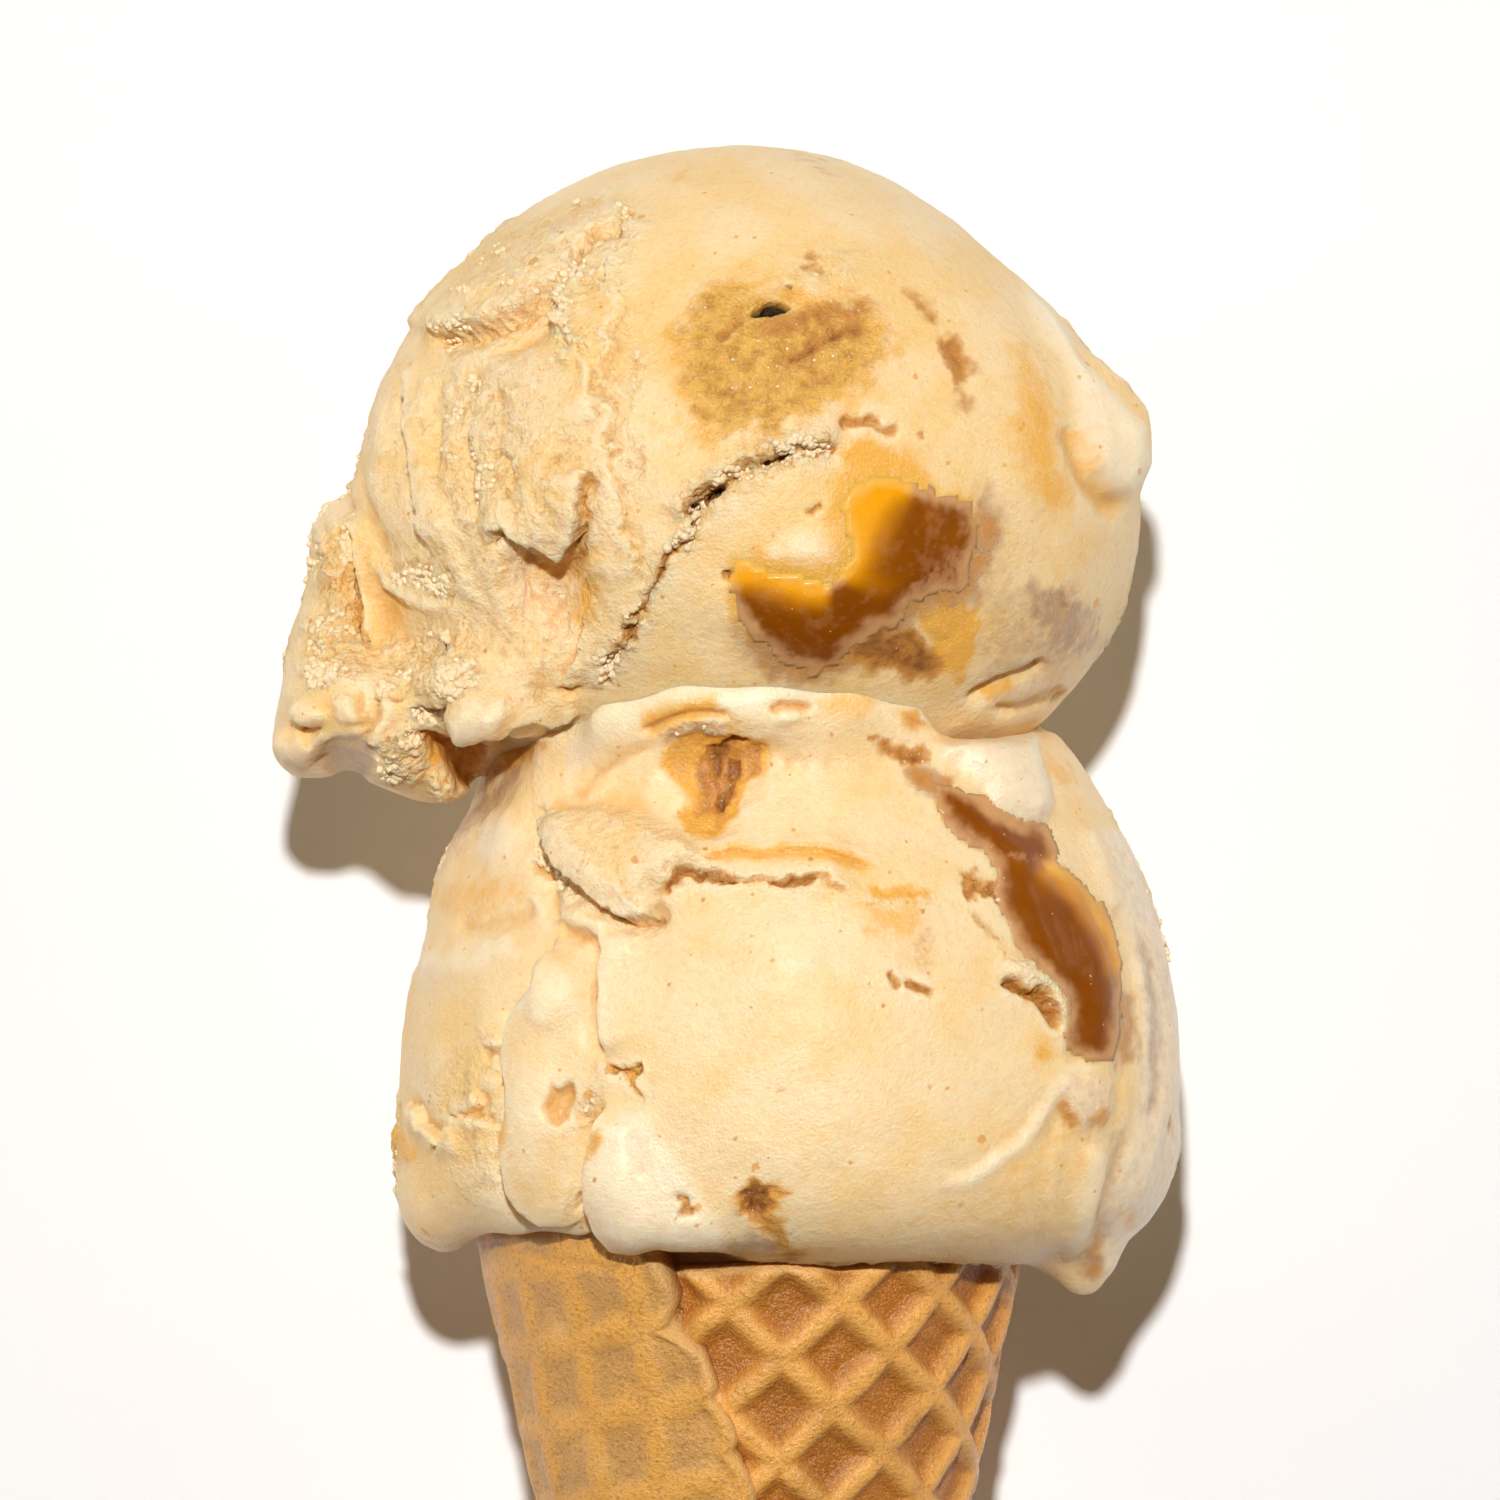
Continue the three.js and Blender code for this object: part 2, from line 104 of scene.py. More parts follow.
def smooth(low: float, high: float, value: Array) -> Array:
    """Rises from 0 at low to 1 at high, level at both ends."""
    t = np.clip((value - low) / (high - low), 0.0, 1.0)
    return t * t * (3.0 - 2.0 * t)


class Grain:
    """Seeded noise in space."""

    @staticmethod
    def _hash(cell: Array, seed: int) -> Array:
        """Gives a number from 0 to 1 for each whole (x, y, z) row."""
        key = cell.astype(np.int64)
        mixed = (key[..., 0] * 73856093) ^ (key[..., 1] * 19349663) ^ (key[..., 2] * 83492791) ^ (seed * 2654435761)
        mixed = (mixed ^ (mixed >> 13)) * 1274126177 & 0xFFFFFFFF
        mixed = (mixed ^ (mixed >> 16)) * 2246822519 & 0xFFFFFFFF
        return ((mixed ^ (mixed >> 15)) & 0xFFFFFF) / float(0xFFFFFF)

    @classmethod
    def wave(cls, points: Array, size: float, seed: int) -> Array:
        """Smooth noise from -1 to 1.

        Args:
            points: An array of (x, y, z) rows.
            size: The length over which it changes, in the points' unit.
            seed: Which noise it is.

        Returns:
            One value for each row.
        """
        scaled = points / size
        base = np.floor(scaled)
        part = scaled - base
        part = part * part * (3.0 - 2.0 * part)
        total = np.zeros(len(points))
        for corner in np.ndindex(2, 2, 2):
            weight = np.prod(np.where(np.array(corner) == 1, part, 1.0 - part), axis=1)
            total += weight * cls._hash(base + np.array(corner), seed)
        return total * 2.0 - 1.0

    @classmethod
    def rough(cls, points: Array, size: float, seed: int, octaves: int = 3) -> Array:
        """Noise with finer noise in it, from about -1 to 1."""
        total = np.zeros(len(points))
        for step in range(octaves):
            total += cls.wave(points, size / 2.07**step, seed + step) * 0.55**step
        return total

    @classmethod
    def stray(cls, points: Array) -> Array:
        """Gives how lines and outlines stray at each place, as (x, y) rows, for a raggedness of 1."""
        return np.stack([cls.rough(points, 1.7, 40 + k, 3) for k in range(2)], axis=1)

    @classmethod
    def crumbs(cls, points: Array, size: float, seed: int) -> Array:
        """Rounded grains: 1 in the middle of a grain and 0 between grains.

        Args:
            points: An array of (x, y, z) rows.
            size: The grains' size, in the points' unit.
            seed: Which grains they are.

        Returns:
            One value for each row.
        """
        scaled = points / size
        base = np.floor(scaled)
        nearest = np.full(len(points), 9.0)
        for offset in np.ndindex(3, 3, 3):
            cell = base + np.array(offset) - 1.0
            middle = cell + np.stack([cls._hash(cell, seed + k) for k in range(3)], axis=1)
            nearest = np.minimum(nearest, np.sum((scaled - middle) ** 2, axis=1))
        return np.clip(1.0 - nearest / 0.75, 0.0, 1.0)


def places(drawn: str) -> tuple[Place, ...]:
    """Reads a path, written as x,y pairs in tenths of a millimetre."""
    return tuple((int(x) / 10, int(y) / 10) for x, y in (pair.split(",") for pair in drawn.split()))


def along_path(seen: Array, path: Sequence[Place]) -> tuple[Array, Array]:
    """Measures places against an open line.

    Args:
        seen: An array of (x, y) rows.
        path: The line's points.

    Returns:
        The distance to the line, positive on its left, and how far along it the nearest point is, from 0 to 1.
    """
    line = np.array(path)
    lengths = np.linalg.norm(np.diff(line, axis=0), axis=1)
    starts = np.concatenate([[0.0], np.cumsum(lengths)])
    best = np.full(len(seen), 1e9)
    signed = np.zeros(len(seen))
    share = np.zeros(len(seen))
    for i, length in enumerate(lengths):
        heading = (line[i + 1] - line[i]) / length
        away = seen - line[i]
        run = np.clip(away @ heading, 0.0, length)
        gap = away - run[:, None] * heading
        distance = np.hypot(gap[:, 0], gap[:, 1])
        side = np.where(heading[0] * away[:, 1] - heading[1] * away[:, 0] >= 0.0, 1.0, -1.0)
        closer = distance < best
        best = np.where(closer, distance, best)
        signed = np.where(closer, distance * side, signed)
        share = np.where(closer, (starts[i] + run) / starts[-1], share)
    return signed, share


def inside_outline(seen: Array, outline: Sequence[Place]) -> Array:
    """Gives the distance to a closed outline, positive inside it."""
    ring = list(outline) + [outline[0]]
    distance = np.abs(along_path(seen, ring)[0])
    crossings = np.zeros(len(seen), dtype=int)
    for (x0, y0), (x1, y1) in zip(ring[:-1], ring[1:]):
        spans = (y0 > seen[:, 1]) != (y1 > seen[:, 1])
        rise = y1 - y0 if y1 != y0 else 1e-9
        crossings += spans & (seen[:, 0] < (x1 - x0) * (seen[:, 1] - y0) / rise + x0)
    return np.where(crossings % 2 == 1, distance, -distance)


# ---- Marks on the ice cream


class Stain(Enum):
    """What a mark leaves on the ice cream, each kept as an attribute of the mesh: its stains and its painted shade."""

    CARAMEL = "caramel"
    BISCUIT = "biscuit"
    MILK = "milk"
    TORN = "torn"
    # Painted shade along creases and in sunk places.
    HOLLOW = "hollow"
    GOLD = "gold"
    FILM = "film"
    # Painted near-black shade in deep holes and cracks.
    DARK = "dark"


@dataclass(frozen=True)
class Mark:
    """Something that changes the ice cream's surface near some place.

    Attributes:
        drawn: Its line or outline, as seen, in the form that places() reads.
        lift: How far it raises the surface, in millimetres; negative sinks it.
        width: How far it reaches from its line or inwards from its outline.
        ragged: How far its line strays.
        stain: What it paints, with the strength.
        spread: How far the paint reaches past the shape.
    """

    drawn: str
    lift: float = 0.0
    width: float = 1.0
    ragged: float = 0.3
    stain: tuple[tuple[Stain, float], ...] = ()
    spread: float = 0.0

    @property
    def path(self) -> tuple[Place, ...]:
        """Gives the points of its line or outline, in millimetres."""
        return places(self.drawn)

    def reach(self) -> float:
        """Gives how far from its path it still changes anything."""
        return 2.4 * (self.width + self.spread)

    def near(self, seen: Array) -> Array:
        """Picks the places that it can change."""
        path = np.array(self.path)
        room = self.reach() + 2.0 * self.ragged
        low, high = path.min(axis=0) - room, path.max(axis=0) + room
        return np.nonzero(np.all((seen > low) & (seen < high), axis=1))[0]

    def shape(self, seen: Array) -> tuple[Array, Array]:
        """Gives the change of height and the strength of the paint, one of each for each place."""
        raise NotImplementedError


def ends(share: Array, taper: float = 0.14) -> Array:
    """Fades a line out at both ends."""
    return smooth(0.0, taper, share) * (1.0 - smooth(1.0 - taper, 1.0, share))


@dataclass(frozen=True)
class Furrow(Mark):
    """A valley, or with a positive lift a ridge, along a line."""

    def shape(self, seen: Array) -> tuple[Array, Array]:
        """Gives a rounded profile across the line."""
        off, share = along_path(seen, self.path)
        profile = np.exp(-((off / self.width) ** 2)) * ends(share)
        paint = np.exp(-((off / (self.width + self.spread)) ** 2)) * ends(share)
        return self.lift * profile, paint


@dataclass(frozen=True)
class Ledge(Mark):
    """A torn or folded edge: the surface rises towards the line from its left and drops past it.

    Attributes:
        drop: How far the surface sinks under the edge, on the right of the line.
        under: How far that sinking reaches.
        edge: How wide the drop itself is.
    """

    drop: float = 0.8
    under: float = 0.8
    edge: float = 0.55

    def reach(self) -> float:
        """Gives how far from its line it still changes anything."""
        return max(self.width, 2.4 * (self.under + self.spread))

    def shape(self, seen: Array) -> tuple[Array, Array]:
        """Gives the raised side, the drop and the hollow under it."""
        off, share = along_path(seen, self.path)
        fade = ends(share)
        raised = smooth(-self.edge / 2, self.edge / 2, off) * (1.0 - smooth(0.0, self.width, off))
        sunk = (1.0 - smooth(-self.edge / 2, self.edge / 2, off)) * np.exp(-((off / self.under) ** 2))
        paint = np.exp(-(((off + self.under * 0.3) / (self.under + self.spread)) ** 2))
        return fade * (self.lift * raised - self.drop * sunk), fade * paint


@dataclass(frozen=True)
class Patch(Mark):
    """A closed area that stands proud or is sunk, over the width from its outline inwards."""

    def shape(self, seen: Array) -> tuple[Array, Array]:
        """Gives the rise from the outline inwards."""
        within = inside_outline(seen, self.path)
        rise = smooth(-0.15 * self.width, self.width, within)
        paint = smooth(-self.spread - 0.2, max(self.width * 0.5, 0.3) + self.spread, within)
        return self.lift * rise, paint


@dataclass(frozen=True)
class Combed(Mark):
    """Grooves that run beside a line, on its left, as the scoop left them.

    Attributes:
        pitch: How far apart they are.
    """

    pitch: float = 1.5

    def reach(self) -> float:
        """Gives how far from its line it still changes anything."""
        return self.width

    def shape(self, seen: Array) -> tuple[Array, Array]:
        """Gives uneven grooves, each long and narrow, that fade out at the sides and ends."""
        off, share = along_path(seen, self.path)
        grooves = np.zeros(len(seen))
        for step in range(2):
            finer = 1.9**step
            lines = np.stack([off / self.pitch * finer, share * 3.0 * finer, share * 0.0], axis=1)
            grooves += Grain.wave(lines, 1.0, 71 + step) * 0.6**step
        fade = smooth(-0.4, 0.8, off) * (1.0 - smooth(0.75 * self.width, self.width, off)) * ends(share, 0.2)
        return self.lift * grooves * fade, fade


# ---- Meshes


class Workshop:
    """The handling of meshes that every piece shares."""

    @staticmethod
    def deselect() -> None:
        """Leaves nothing selected."""
        bpy.ops.object.select_all(action="DESELECT")

    @classmethod
    def take(cls, thing: bpy.types.Object) -> bpy.types.Object:
        """Makes one object the only selected and the active one."""
        cls.deselect()
        thing.select_set(True)
        bpy.context.view_layer.objects.active = thing
        return thing

    @classmethod
    def copy(cls, source: bpy.types.Object) -> bpy.types.Object:
        """Copies an object with a mesh of its own."""
        copy = source.copy()
        copy.data = source.data.copy()
        bpy.context.scene.collection.objects.link(copy)
        return cls.take(copy)

    @classmethod
    def copy_node(cls, node: str) -> bpy.types.Object:
        """Copies a node of the frame as a merged mesh of its own."""
        copy = cls.copy(bpy.data.objects[node])
        copy.parent = None
        for key in list(copy.keys()):
            del copy[key]
        copy.data.materials.clear()
        cls.edit(copy, bpy.ops.mesh.remove_doubles, threshold=MERGE_WITHIN)
        return copy

    @classmethod
    def edit(cls, thing: bpy.types.Object, step: Callable[..., Any], **settings: Any) -> None:
        """Takes a step in edit mode on the whole of a mesh."""
        cls.take(thing)
        bpy.ops.object.mode_set(mode="EDIT")
        bpy.ops.mesh.select_all(action="SELECT")
        step(**settings)
        bpy.ops.object.mode_set(mode="OBJECT")

    @classmethod
    def edit_faces(cls, thing: bpy.types.Object, pick: Array, step: Callable[..., Any], **settings: Any) -> None:
        """Takes a step in edit mode on each face for which pick is True."""
        cls.take(thing)
        bpy.ops.object.mode_set(mode="EDIT")
        bpy.ops.mesh.select_mode(type="FACE")
        bpy.ops.mesh.select_all(action="DESELECT")
        bpy.ops.object.mode_set(mode="OBJECT")
        thing.data.polygons.foreach_set("select", pick)
        bpy.ops.object.mode_set(mode="EDIT")
        step(**settings)
        bpy.ops.object.mode_set(mode="OBJECT")

    @classmethod
    def blob(cls, at: Sequence[float], half: Sequence[float]) -> bpy.types.Object:
        """Adds a lump of ice cream, given by its middle and half sizes in millimetres, with its place in its mesh."""
        cls.deselect()
        bpy.ops.mesh.primitive_ico_sphere_add(
            subdivisions=4, radius=1.0, location=Vector(at) * MM, scale=Vector(half) * MM,
        )
        bpy.ops.object.transform_apply(location=True, rotation=True, scale=True)
        return bpy.context.active_object

    @classmethod
    def join(cls, things: Sequence[bpy.types.Object], name: str) -> bpy.types.Object:
        """Joins objects into the first of them and names it."""
        cls.take(things[0])
        for thing in things:
            thing.select_set(True)
        bpy.ops.object.join()
        joined = bpy.context.active_object
        joined.name = name
        joined.data.name = name
        return joined

    @classmethod
    def modify(cls, thing: bpy.types.Object, kind: str, **settings: Any) -> None:
        """Adds a modifier with its settings and applies it."""
        cls.take(thing)
        modifier = thing.modifiers.new(kind.lower(), kind)
        for key, value in settings.items():
            setattr(modifier, key, value)
        bpy.ops.object.modifier_apply(modifier=modifier.name)

    @staticmethod
    def points(thing: bpy.types.Object) -> Array:
        """Gives a mesh's vertices in millimetres."""
        flat = np.empty(len(thing.data.vertices) * 3)
        thing.data.vertices.foreach_get("co", flat)
        return flat.reshape(-1, 3) / MM

    @staticmethod
    def place(thing: bpy.types.Object, points: Array) -> None:
        """Moves a mesh's vertices to places in millimetres."""
        thing.data.vertices.foreach_set("co", (points * MM).ravel())
        thing.data.update()

    @staticmethod
    def normals(thing: bpy.types.Object) -> Array:
        """Gives the normal at each vertex."""
        flat = np.empty(len(thing.data.vertices) * 3, dtype=np.float32)
        thing.data.vertex_normals.foreach_get("vector", flat)
        return flat.reshape(-1, 3).astype(float)

    @staticmethod
    def attribute(thing: bpy.types.Object, name: str, values: Array) -> None:
        """Keeps one number for each vertex under a name."""
        layer = thing.data.attributes.new(name, "FLOAT", "POINT")
        layer.data.foreach_set("value", values.astype(np.float32))

    @classmethod
    def swell(cls, thing: bpy.types.Object, amount: float) -> None:
        """Moves a mesh's skin outwards, in millimetres."""
        cls.place(thing, cls.points(thing) + cls.normals(thing) * amount)

    @classmethod
    def corners(cls, thing: bpy.types.Object) -> tuple[Array, Array]:
        """Gives the vertex at each corner of the faces, and where each face's corners start."""
        at = np.empty(len(thing.data.loops), dtype=np.int32)
        thing.data.loops.foreach_get("vertex_index", at)
        starts = np.empty(len(thing.data.polygons), dtype=np.int32)
        thing.data.polygons.foreach_get("loop_start", starts)
        return at, starts

    @classmethod
    def sunkenness(cls, thing: bpy.types.Object, rounds: int) -> Array:
        """Gives how far each vertex lies under its surroundings, in millimetres.

        Args:
            thing: The mesh.
            rounds: How often each vertex takes its neighbours' mean: the more, the wider the surroundings.

        Returns:
            One number for each vertex, negative where it stands proud.
        """
        ends_of = np.empty(len(thing.data.edges) * 2, dtype=np.int32)
        thing.data.edges.foreach_get("vertices", ends_of)
        first, second = ends_of[::2], ends_of[1::2]
        points = cls.points(thing)
        count = len(points)
        neighbours = np.bincount(ends_of, minlength=count).clip(1)
        mean = points.copy()
        for _ in range(rounds):
            for k in range(3):
                column = mean[:, k]
                total = np.bincount(first, column[second], count) + np.bincount(second, column[first], count)
                mean[:, k] = (column + total / neighbours) / 2.0
        return np.sum((mean - points) * cls.normals(thing), axis=1)

    @classmethod
    def finish(cls, thing: bpy.types.Object, look: bpy.types.Material, slot: str) -> None:
        """Shades a piece smooth, dresses it and lets it ride on the object."""
        cls.take(thing)
        bpy.ops.object.shade_smooth()
        thing.data.materials.clear()
        thing.data.materials.append(look)
        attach(thing, "root")
        LOG.info("%s: %d faces", thing.name, len(thing.data.polygons))


# ---- Shader graphs


class Link:
    """A node's output that takes part in sums."""

    def __init__(self, graph: "Graph", socket: bpy.types.NodeSocket) -> None:
        """Wraps an output socket of a graph."""
        self.graph = graph
        self.socket = socket

    def _math(self, operation: str, first: Any, second: Any) -> "Link":
        """Adds a Math node for an operation on two values or links."""
        return self.graph.node("ShaderNodeMath", {"operation": operation}, {0: first, 1: second})

    def __add__(self, other: Any) -> "Link":
        """Adds."""
        return self._math("ADD", self, other)

    def __sub__(self, other: Any) -> "Link":
        """Subtracts."""
        return self._math("SUBTRACT", self, other)

    def __rsub__(self, other: Any) -> "Link":
        """Subtracts this from a number."""
        return self._math("SUBTRACT", other, self)

    def __mul__(self, other: Any) -> "Link":
        """Multiplies."""
        return self._math("MULTIPLY", self, other)

    __radd__ = __add__
    __rmul__ = __mul__


class Graph:
    """The node tree of one material."""

    def __init__(self, name: str) -> None:
        """Starts a material with an empty tree."""
        self.material = bpy.data.materials.new(name)
        self.material.use_nodes = True
        self.tree = self.material.node_tree
        self.tree.nodes.clear()

    def node(self, kind: str, settings: Optional[dict] = None, inputs: Optional[dict] = None, output: Any = 0) -> Link:
        """Adds a node.

        Args:
            kind: The node's type.
            settings: Its properties, set before its sockets; a ramp's stops are under "stops".
            inputs: Values or links for its sockets, by name or number.
            output: Which of its outputs is wanted.

        Returns:
            That output.
        """
        made = self.tree.nodes.new(kind)
        for key, value in (settings or {}).items():
            if key == "stops":
                self._set_stops(made.color_ramp, value)
            else:
                setattr(made, key, value)
        for key, value in (inputs or {}).items():
            if isinstance(value, Link):
                self.tree.links.new(value.socket, made.inputs[key])
            else:
                made.inputs[key].default_value = value
        return Link(self, made.outputs[output]) if made.outputs else Link(self, None)

    @staticmethod
    def _set_stops(ramp: bpy.types.ColorRamp, stops: Sequence[tuple[float, Sequence[float]]]) -> None:
        """Sets a ramp's stops from (place, colour) pairs."""
        while len(ramp.elements) > 1:
            ramp.elements.remove(ramp.elements[-1])
        for i, (place, colour) in enumerate(stops):
            stop = ramp.elements[0] if i == 0 else ramp.elements.new(place)
            stop.position = place
            stop.color = (*colour, 1.0)

    def millimetres(self) -> Link:
        """Gives the place on the piece in millimetres."""
        place = self.node("ShaderNodeTexCoord", output="Object")
        return self.node("ShaderNodeVectorMath", {"operation": "SCALE"}, {0: place, "Scale": 1.0 / MM})

    def attribute(self, name: str) -> Link:
        """Reads a number that the mesh keeps at each vertex."""
        return self.node("ShaderNodeAttribute", {"attribute_name": name}, output="Fac")

    def noise(self, place: Link, size: float, detail: float = 2.0) -> Link:
        """Gives noise from 0 to 1 that changes over a size in millimetres."""
        return self.node("ShaderNodeTexNoise", {}, {"Vector": place, "Scale": 1.0 / size, "Detail": detail}, "Fac")

    def ramp(self, value: Link, low: float, high: float) -> Link:
        """Rises from 0 to 1 as a value goes from low to high."""
        settings = {"interpolation_type": "SMOOTHSTEP"}
        return self.node("ShaderNodeMapRange", settings, {"Value": value, "From Min": low, "From Max": high})

    def blend(self, share: Any, first: Any, second: Any) -> Link:
        """Mixes two colours, given as links or as red, green and blue."""
        made = self.tree.nodes.new("ShaderNodeMix")
        made.data_type = "RGBA"
        for socket, value in ((made.inputs[0], share), (made.inputs[6], first), (made.inputs[7], second)):
            if isinstance(value, Link):
                self.tree.links.new(value.socket, socket)
            elif isinstance(value, (tuple, list)):
                socket.default_value = (*value, 1.0)
            else:
                socket.default_value = value
        return Link(self, made.outputs[2])

    def layered(self, colour: Any, *layers: tuple[Any, Any]) -> Link:
        """Lays colours over a colour in their order, each given as its share and the colour."""
        for share, over in layers:
            colour = self.blend(share, colour, over)
        return colour

    def specks(self, place: Link, spacing: float, share: float, radius: float, seed: float) -> Link:
        """Gives scattered ragged specks.

        Args:
            place: Where on the piece.
            spacing: The spacing of the places where a speck can be, in millimetres.
            share: Which share of those places has one.
            radius: How far the largest reach from their middles, in millimetres.
            seed: Shifts the pattern.

        Returns:
            1 on a speck and 0 off it.
        """
        moved = self.node("ShaderNodeVectorMath", {"operation": "ADD"}, {0: place, 1: (seed, 2 * seed, 3 * seed)})
        inputs = {"Vector": moved, "Scale": 1.0 / spacing}
        distance = self.node("ShaderNodeTexVoronoi", {}, inputs, "Distance")
        chance = self.node("ShaderNodeTexVoronoi", {}, inputs, "Color")
        picked = self.node("ShaderNodeSeparateColor", {}, {0: chance}, 0)
        reach = radius / spacing
        size = self.ramp(picked, 1.0 - share, 1.0) * 0.5 + 0.5 + (self.noise(moved, radius, 2.0) - 0.5) * 1.4
        within = self.ramp(size * reach - distance, -0.15 * reach, 0.25 * reach)
        return within * self.ramp(picked, 1.0 - share, 1.01 - share)

    def cracks(self, place: Link, size: float) -> Link:
        """Gives short fine cracks that wander over a size in millimetres: 1 in a crack and 0 off it."""
        off = self.noise(place, size, 3.0) - 0.5
        line = self.node("ShaderNodeMath", {"operation": "ABSOLUTE"}, {0: off})
        return self.ramp(0.018 - line, 0.0, 0.014) * self.ramp(self.noise(place, size * 1.3, 2.0), 0.52, 0.60)

    def surface(self, inputs: dict) -> bpy.types.Material:
        """Ends the tree with a Principled surface and gives the material."""
        shader = self.node("ShaderNodeBsdfPrincipled", {"subsurface_method": "RANDOM_WALK"}, inputs, "BSDF")
        self.node("ShaderNodeOutputMaterial", {}, {"Surface": shader})
        return self.material


@dataclass(frozen=True)
class CreamFinish:
    """Caramel ice cream: pale where it melts, granular where it is torn, stained where caramel runs through it."""

    cream: tuple[float, float, float] = (0.92, 0.690, 0.375)
    butter: tuple[float, float, float] = (0.90, 0.610, 0.245)
    milk: tuple[float, float, float] = (0.94, 0.80, 0.585)
    torn: tuple[float, float, float] = (0.90, 0.61, 0.285)
    gold: tuple[float, float, float] = (0.86, 0.43, 0.035)
    film: tuple[float, float, float] = (0.42, 0.245, 0.150)
    # The next two colours are painted shade: the first in creases and sunk places, the second deeper, in the deepest.
    hollow: tuple[float, float, float] = (0.74, 0.40, 0.11)
    painted_crevice_shade: tuple[float, float, float] = (0.62, 0.27, 0.05)
    biscuit: tuple[float, float, float] = (0.80, 0.47, 0.095)
    biscuit_dark: tuple[float, float, float] = (0.56, 0.27, 0.035)
    # Pale painted glints: on the fine grain, and in specks over wet places.
    painted_glint: tuple[float, float, float] = (0.98, 0.90, 0.74)
    stain_light: tuple[float, float, float] = (0.62, 0.28, 0.06)
    stain_dark: tuple[float, float, float] = (0.20, 0.052, 0.008)
    # Orange-brown: real flecks, and painted shade in fine cracks and in the dips of the grain.
    fleck_and_crack_shade: tuple[float, float, float] = (0.76, 0.34, 0.045)
    speck: tuple[float, float, float] = (0.24, 0.075, 0.02)
    # The painted near-black shade of deep holes and cracks.
    painted_hole_shade: tuple[float, float, float] = (0.030, 0.012, 0.006)
    glow: float = 0.55

    @staticmethod
    def uneven(g: Graph, share: Link, place: Link, size: float, sway: float) -> Link:
        """Breaks up the border of a stain with noise of a size, and leaves places without it alone."""
        return share + (g.noise(place, size, 4.0) - 0.5) * sway * g.ramp(share, 0.0, 0.2)

    def make(self) -> bpy.types.Material:
        """Builds the material."""
        g = Graph("ice_cream")
        place = g.millimetres()
        has = {stain: g.attribute(stain.value) for stain in Stain}
        milk, torn = has[Stain.MILK], has[Stain.TORN]
        biscuit, caramel = has[Stain.BISCUIT], has[Stain.CARAMEL]
        # sunk tells how far each place lies under its surroundings; it drives painted shade in sunk places and a
        # painted highlight on raised ones.
        sunk = g.attribute("sunk")
        cloud = g.noise(place, 8.0, 3.0)
        grain = g.noise(place, 0.75, 4.0)
        fine = g.noise(place, 0.28, 2.0)
        cracked = g.cracks(place, 1.1)
        crumbly = g.blend(g.ramp(g.noise(place, 1.4, 5.0), 0.34, 0.62), self.biscuit_dark, self.biscuit)
        crumbly = g.blend(g.ramp(fine, 0.50, 0.68) * 0.35, crumbly, self.cream)
        patchy = self.uneven(g, caramel, place, 1.7, 0.7) + (grain - 0.5) * 0.5 * g.ramp(caramel, 0.0, 0.2)
        wet = torn * 0.5 + biscuit + caramel
        colour = g.layered(
            g.blend(g.ramp(cloud, 0.38, 0.66), self.cream, self.butter),
            (g.ramp(torn * (0.4 + grain), 0.25, 0.9) * 0.6, self.torn),
            (g.ramp(self.uneven(g, milk, place, 2.6, 0.35), 0.0, 1.0) * 0.85, self.milk),
            # Painted highlight: places raised over their surroundings are painted paler.
            (g.ramp(0.0 - sunk, 0.02, 0.22) * 0.45, self.milk),
            (g.ramp(self.uneven(g, has[Stain.GOLD], place, 1.6, 0.8), 0.0, 0.9) * 0.9, self.gold),
            (g.ramp(self.uneven(g, has[Stain.FILM], place, 1.1, 0.7), 0.0, 0.9) * 0.85, self.film),
            # Painted shade: the fine cracks are tinted orange-brown.
            (cracked * (0.12 + torn * 0.75), self.fleck_and_crack_shade),
            (g.ramp(g.noise(place, 0.5, 3.0), 0.57, 0.70) * torn * 0.55, self.fleck_and_crack_shade),
            # Painted glint: the fine grain is painted paler where it also makes glints.
            (g.ramp(fine, 0.50, 0.70) * 0.16, self.painted_glint),
            # Painted shade: the dips of the bump's grain are tinted orange-brown.
            (g.ramp(0.5 - grain, 0.0, 0.16) * 0.12, self.fleck_and_crack_shade),
            (g.specks(place, 1.7, 0.40, 0.22, 3.1) * 0.75, self.fleck_and_crack_shade),
            (g.specks(place, 5.0, 0.40, 0.50, 17.7) * 0.7, self.fleck_and_crack_shade),
            (g.specks(place, 3.2, 0.45, 0.26, 29.9) * 0.8, self.stain_light),
            (g.ramp(self.uneven(g, biscuit, place, 2.6, 1.6), 0.10, 1.15) * 0.85, crumbly),
            # Painted shade: in creases, and in places sunk under their surroundings, darker where they are sunk
            # deepest.
            (g.ramp(has[Stain.HOLLOW], 0.0, 1.0) * 0.7, self.hollow),
            (g.ramp(sunk, 0.05, 0.30) * 0.60, self.hollow),
            (g.ramp(sunk, 0.22, 0.70) * 0.75, self.painted_crevice_shade),
            (g.ramp(patchy, 0.02, 0.56), self.stain_light),
            (g.ramp(patchy, 0.42, 1.1), self.stain_dark),
            # Painted glints: pale specks over wet places.
            (g.specks(place, 0.8, 0.35, 0.12, 53.9) * g.ramp(wet, 0.2, 0.9), self.painted_glint),
            (g.specks(place, 7.0, 0.30, 0.24, 41.3) * 0.8, self.speck),
            # Painted shade: deep holes and cracks are painted near black.
            (g.ramp(has[Stain.DARK], 0.2, 0.9) * 0.95, self.painted_hole_shade),
        )
        rough = torn + biscuit
        glint = g.ramp(fine, 0.60, 0.70) * (0.15 + rough)
        roughness = 0.46 + rough * 0.14 - glint * 0.45 - milk * 0.10 - caramel * 0.14 - has[Stain.FILM] * 0.1
        height = grain * (0.50 + rough * 1.4) * (1.0 - milk * 0.6) + fine * (0.36 + rough * 0.7) - cracked * rough
